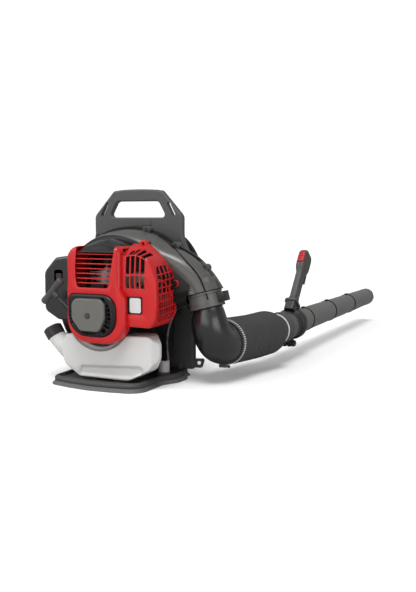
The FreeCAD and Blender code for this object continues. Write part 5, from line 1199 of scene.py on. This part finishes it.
def floor_material():
    """White that keeps the object's shadow, a little brighter to the camera, and darker in reflections."""
    m = bpy.data.materials.new("floor_white")
    m.use_nodes = True
    tree = m.node_tree
    shader = tree.nodes["Principled BSDF"]
    pale = (0.9, 0.9, 0.9, 1)
    dark = (0.3, 0.3, 0.3, 1)
    set_inputs(shader, {"Base Color": pale, "Roughness": 1.0, "Specular IOR Level": 0.0,
                        "Emission Color": (1, 1, 1, 1)})
    seen = tree.nodes.new("ShaderNodeLightPath")
    tint = tree.nodes.new("ShaderNodeMix")
    tint.data_type = "RGBA"
    set_inputs(tint, {6: pale, 7: dark})
    tree.links.new(seen.outputs["Is Glossy Ray"], tint.inputs[0])
    tree.links.new(tint.outputs[2], shader.inputs["Base Color"])
    glow = tree.nodes.new("ShaderNodeMath")
    glow.operation = "MULTIPLY"
    glow.inputs[1].default_value = 0.12
    tree.links.new(seen.outputs["Is Camera Ray"], glow.inputs[0])
    tree.links.new(glow.outputs["Value"], shader.inputs["Emission Strength"])
    return m


bpy.ops.mesh.primitive_plane_add(size=60, location=(0, 10.0, 0))
floor = bpy.context.object
floor.name = "floor"
floor.data.materials.append(floor_material())


def studio_world(level, boxes):
    """White to the camera. The object gets an even light of the given level and broad soft boxes, each a
    direction, a strength and how tight it is."""
    world = bpy.data.worlds.new("studio")
    bpy.context.scene.world = world
    world.use_nodes = True
    tree = world.node_tree

    def math_node(operation, a, b):
        node = tree.nodes.new("ShaderNodeMath")
        node.operation = operation
        for socket, value in zip(node.inputs, (a, b)):
            if isinstance(value, (int, float)):
                socket.default_value = value
            else:
                tree.links.new(value, socket)
        return node.outputs["Value"]

    place = tree.nodes.new("ShaderNodeTexCoord")
    total = level
    for towards, strength, tightness in boxes:
        dot = tree.nodes.new("ShaderNodeVectorMath")
        dot.operation = "DOT_PRODUCT"
        dot.inputs[1].default_value = Vector(towards).normalized()
        tree.links.new(place.outputs["Generated"], dot.inputs[0])
        lobe = math_node("POWER", math_node("MAXIMUM", dot.outputs["Value"], 0.0), float(tightness))
        total = math_node("ADD", math_node("MULTIPLY", lobe, float(strength)), total)
    sky = tree.nodes["Background"]
    sky.inputs["Color"].default_value = (1, 1, 1, 1)
    seen = tree.nodes.new("ShaderNodeLightPath")
    mix = tree.nodes.new("ShaderNodeMapRange")
    mix.inputs["To Max"].default_value = 1.05
    tree.links.new(total, mix.inputs["To Min"])
    tree.links.new(seen.outputs["Is Camera Ray"], mix.inputs["Value"])
    tree.links.new(mix.outputs["Result"], sky.inputs["Strength"])


studio_world(0.2, [((-0.62, -0.5, 0.6), 1.5, 6), ((-0.5, -0.6, 0.6), 1.2, 20), ((-0.05, -1.0, 0.15), 1.5, 14),
                   ((0.0, 1.0, 0.5), 0.2, 2)])


def lamp(name, kind, towards, energy):
    light = bpy.data.lights.new(name, kind)
    light.energy = energy
    obj = linked(name, light)
    obj.rotation_euler = Vector(towards).to_track_quat("-Z", "Y").to_euler()
    return obj


lamp("key", "SUN", (-0.15, 0.42, -1.0), 1.9).data.angle = radians(26)


def side_box(place, towards, wide, tall, level):
    """A soft box at the machine's right that lies as a streak on the elbow."""
    box = lamp("side_box", "AREA", towards, level * wide * tall * pi)
    box.data.shape = "RECTANGLE"
    box.data.size = wide
    box.data.size_y = tall
    box.location = place


side_box((1.8, -0.8, 0.55), (-0.87, 0.5, 0), 1.3, 1.1, 1.6)

camera = linked("photo_camera", bpy.data.cameras.new("photo_camera"))
camera.data.lens = camera_lens
camera.data.sensor_width = camera_sensor
camera.data.clip_end = 100
camera.location = camera_place
camera.rotation_euler = (radians(90 - camera_down), 0, radians(camera_left))
bpy.context.scene.camera = camera
bpy.context.scene.view_settings.view_transform = "Standard"
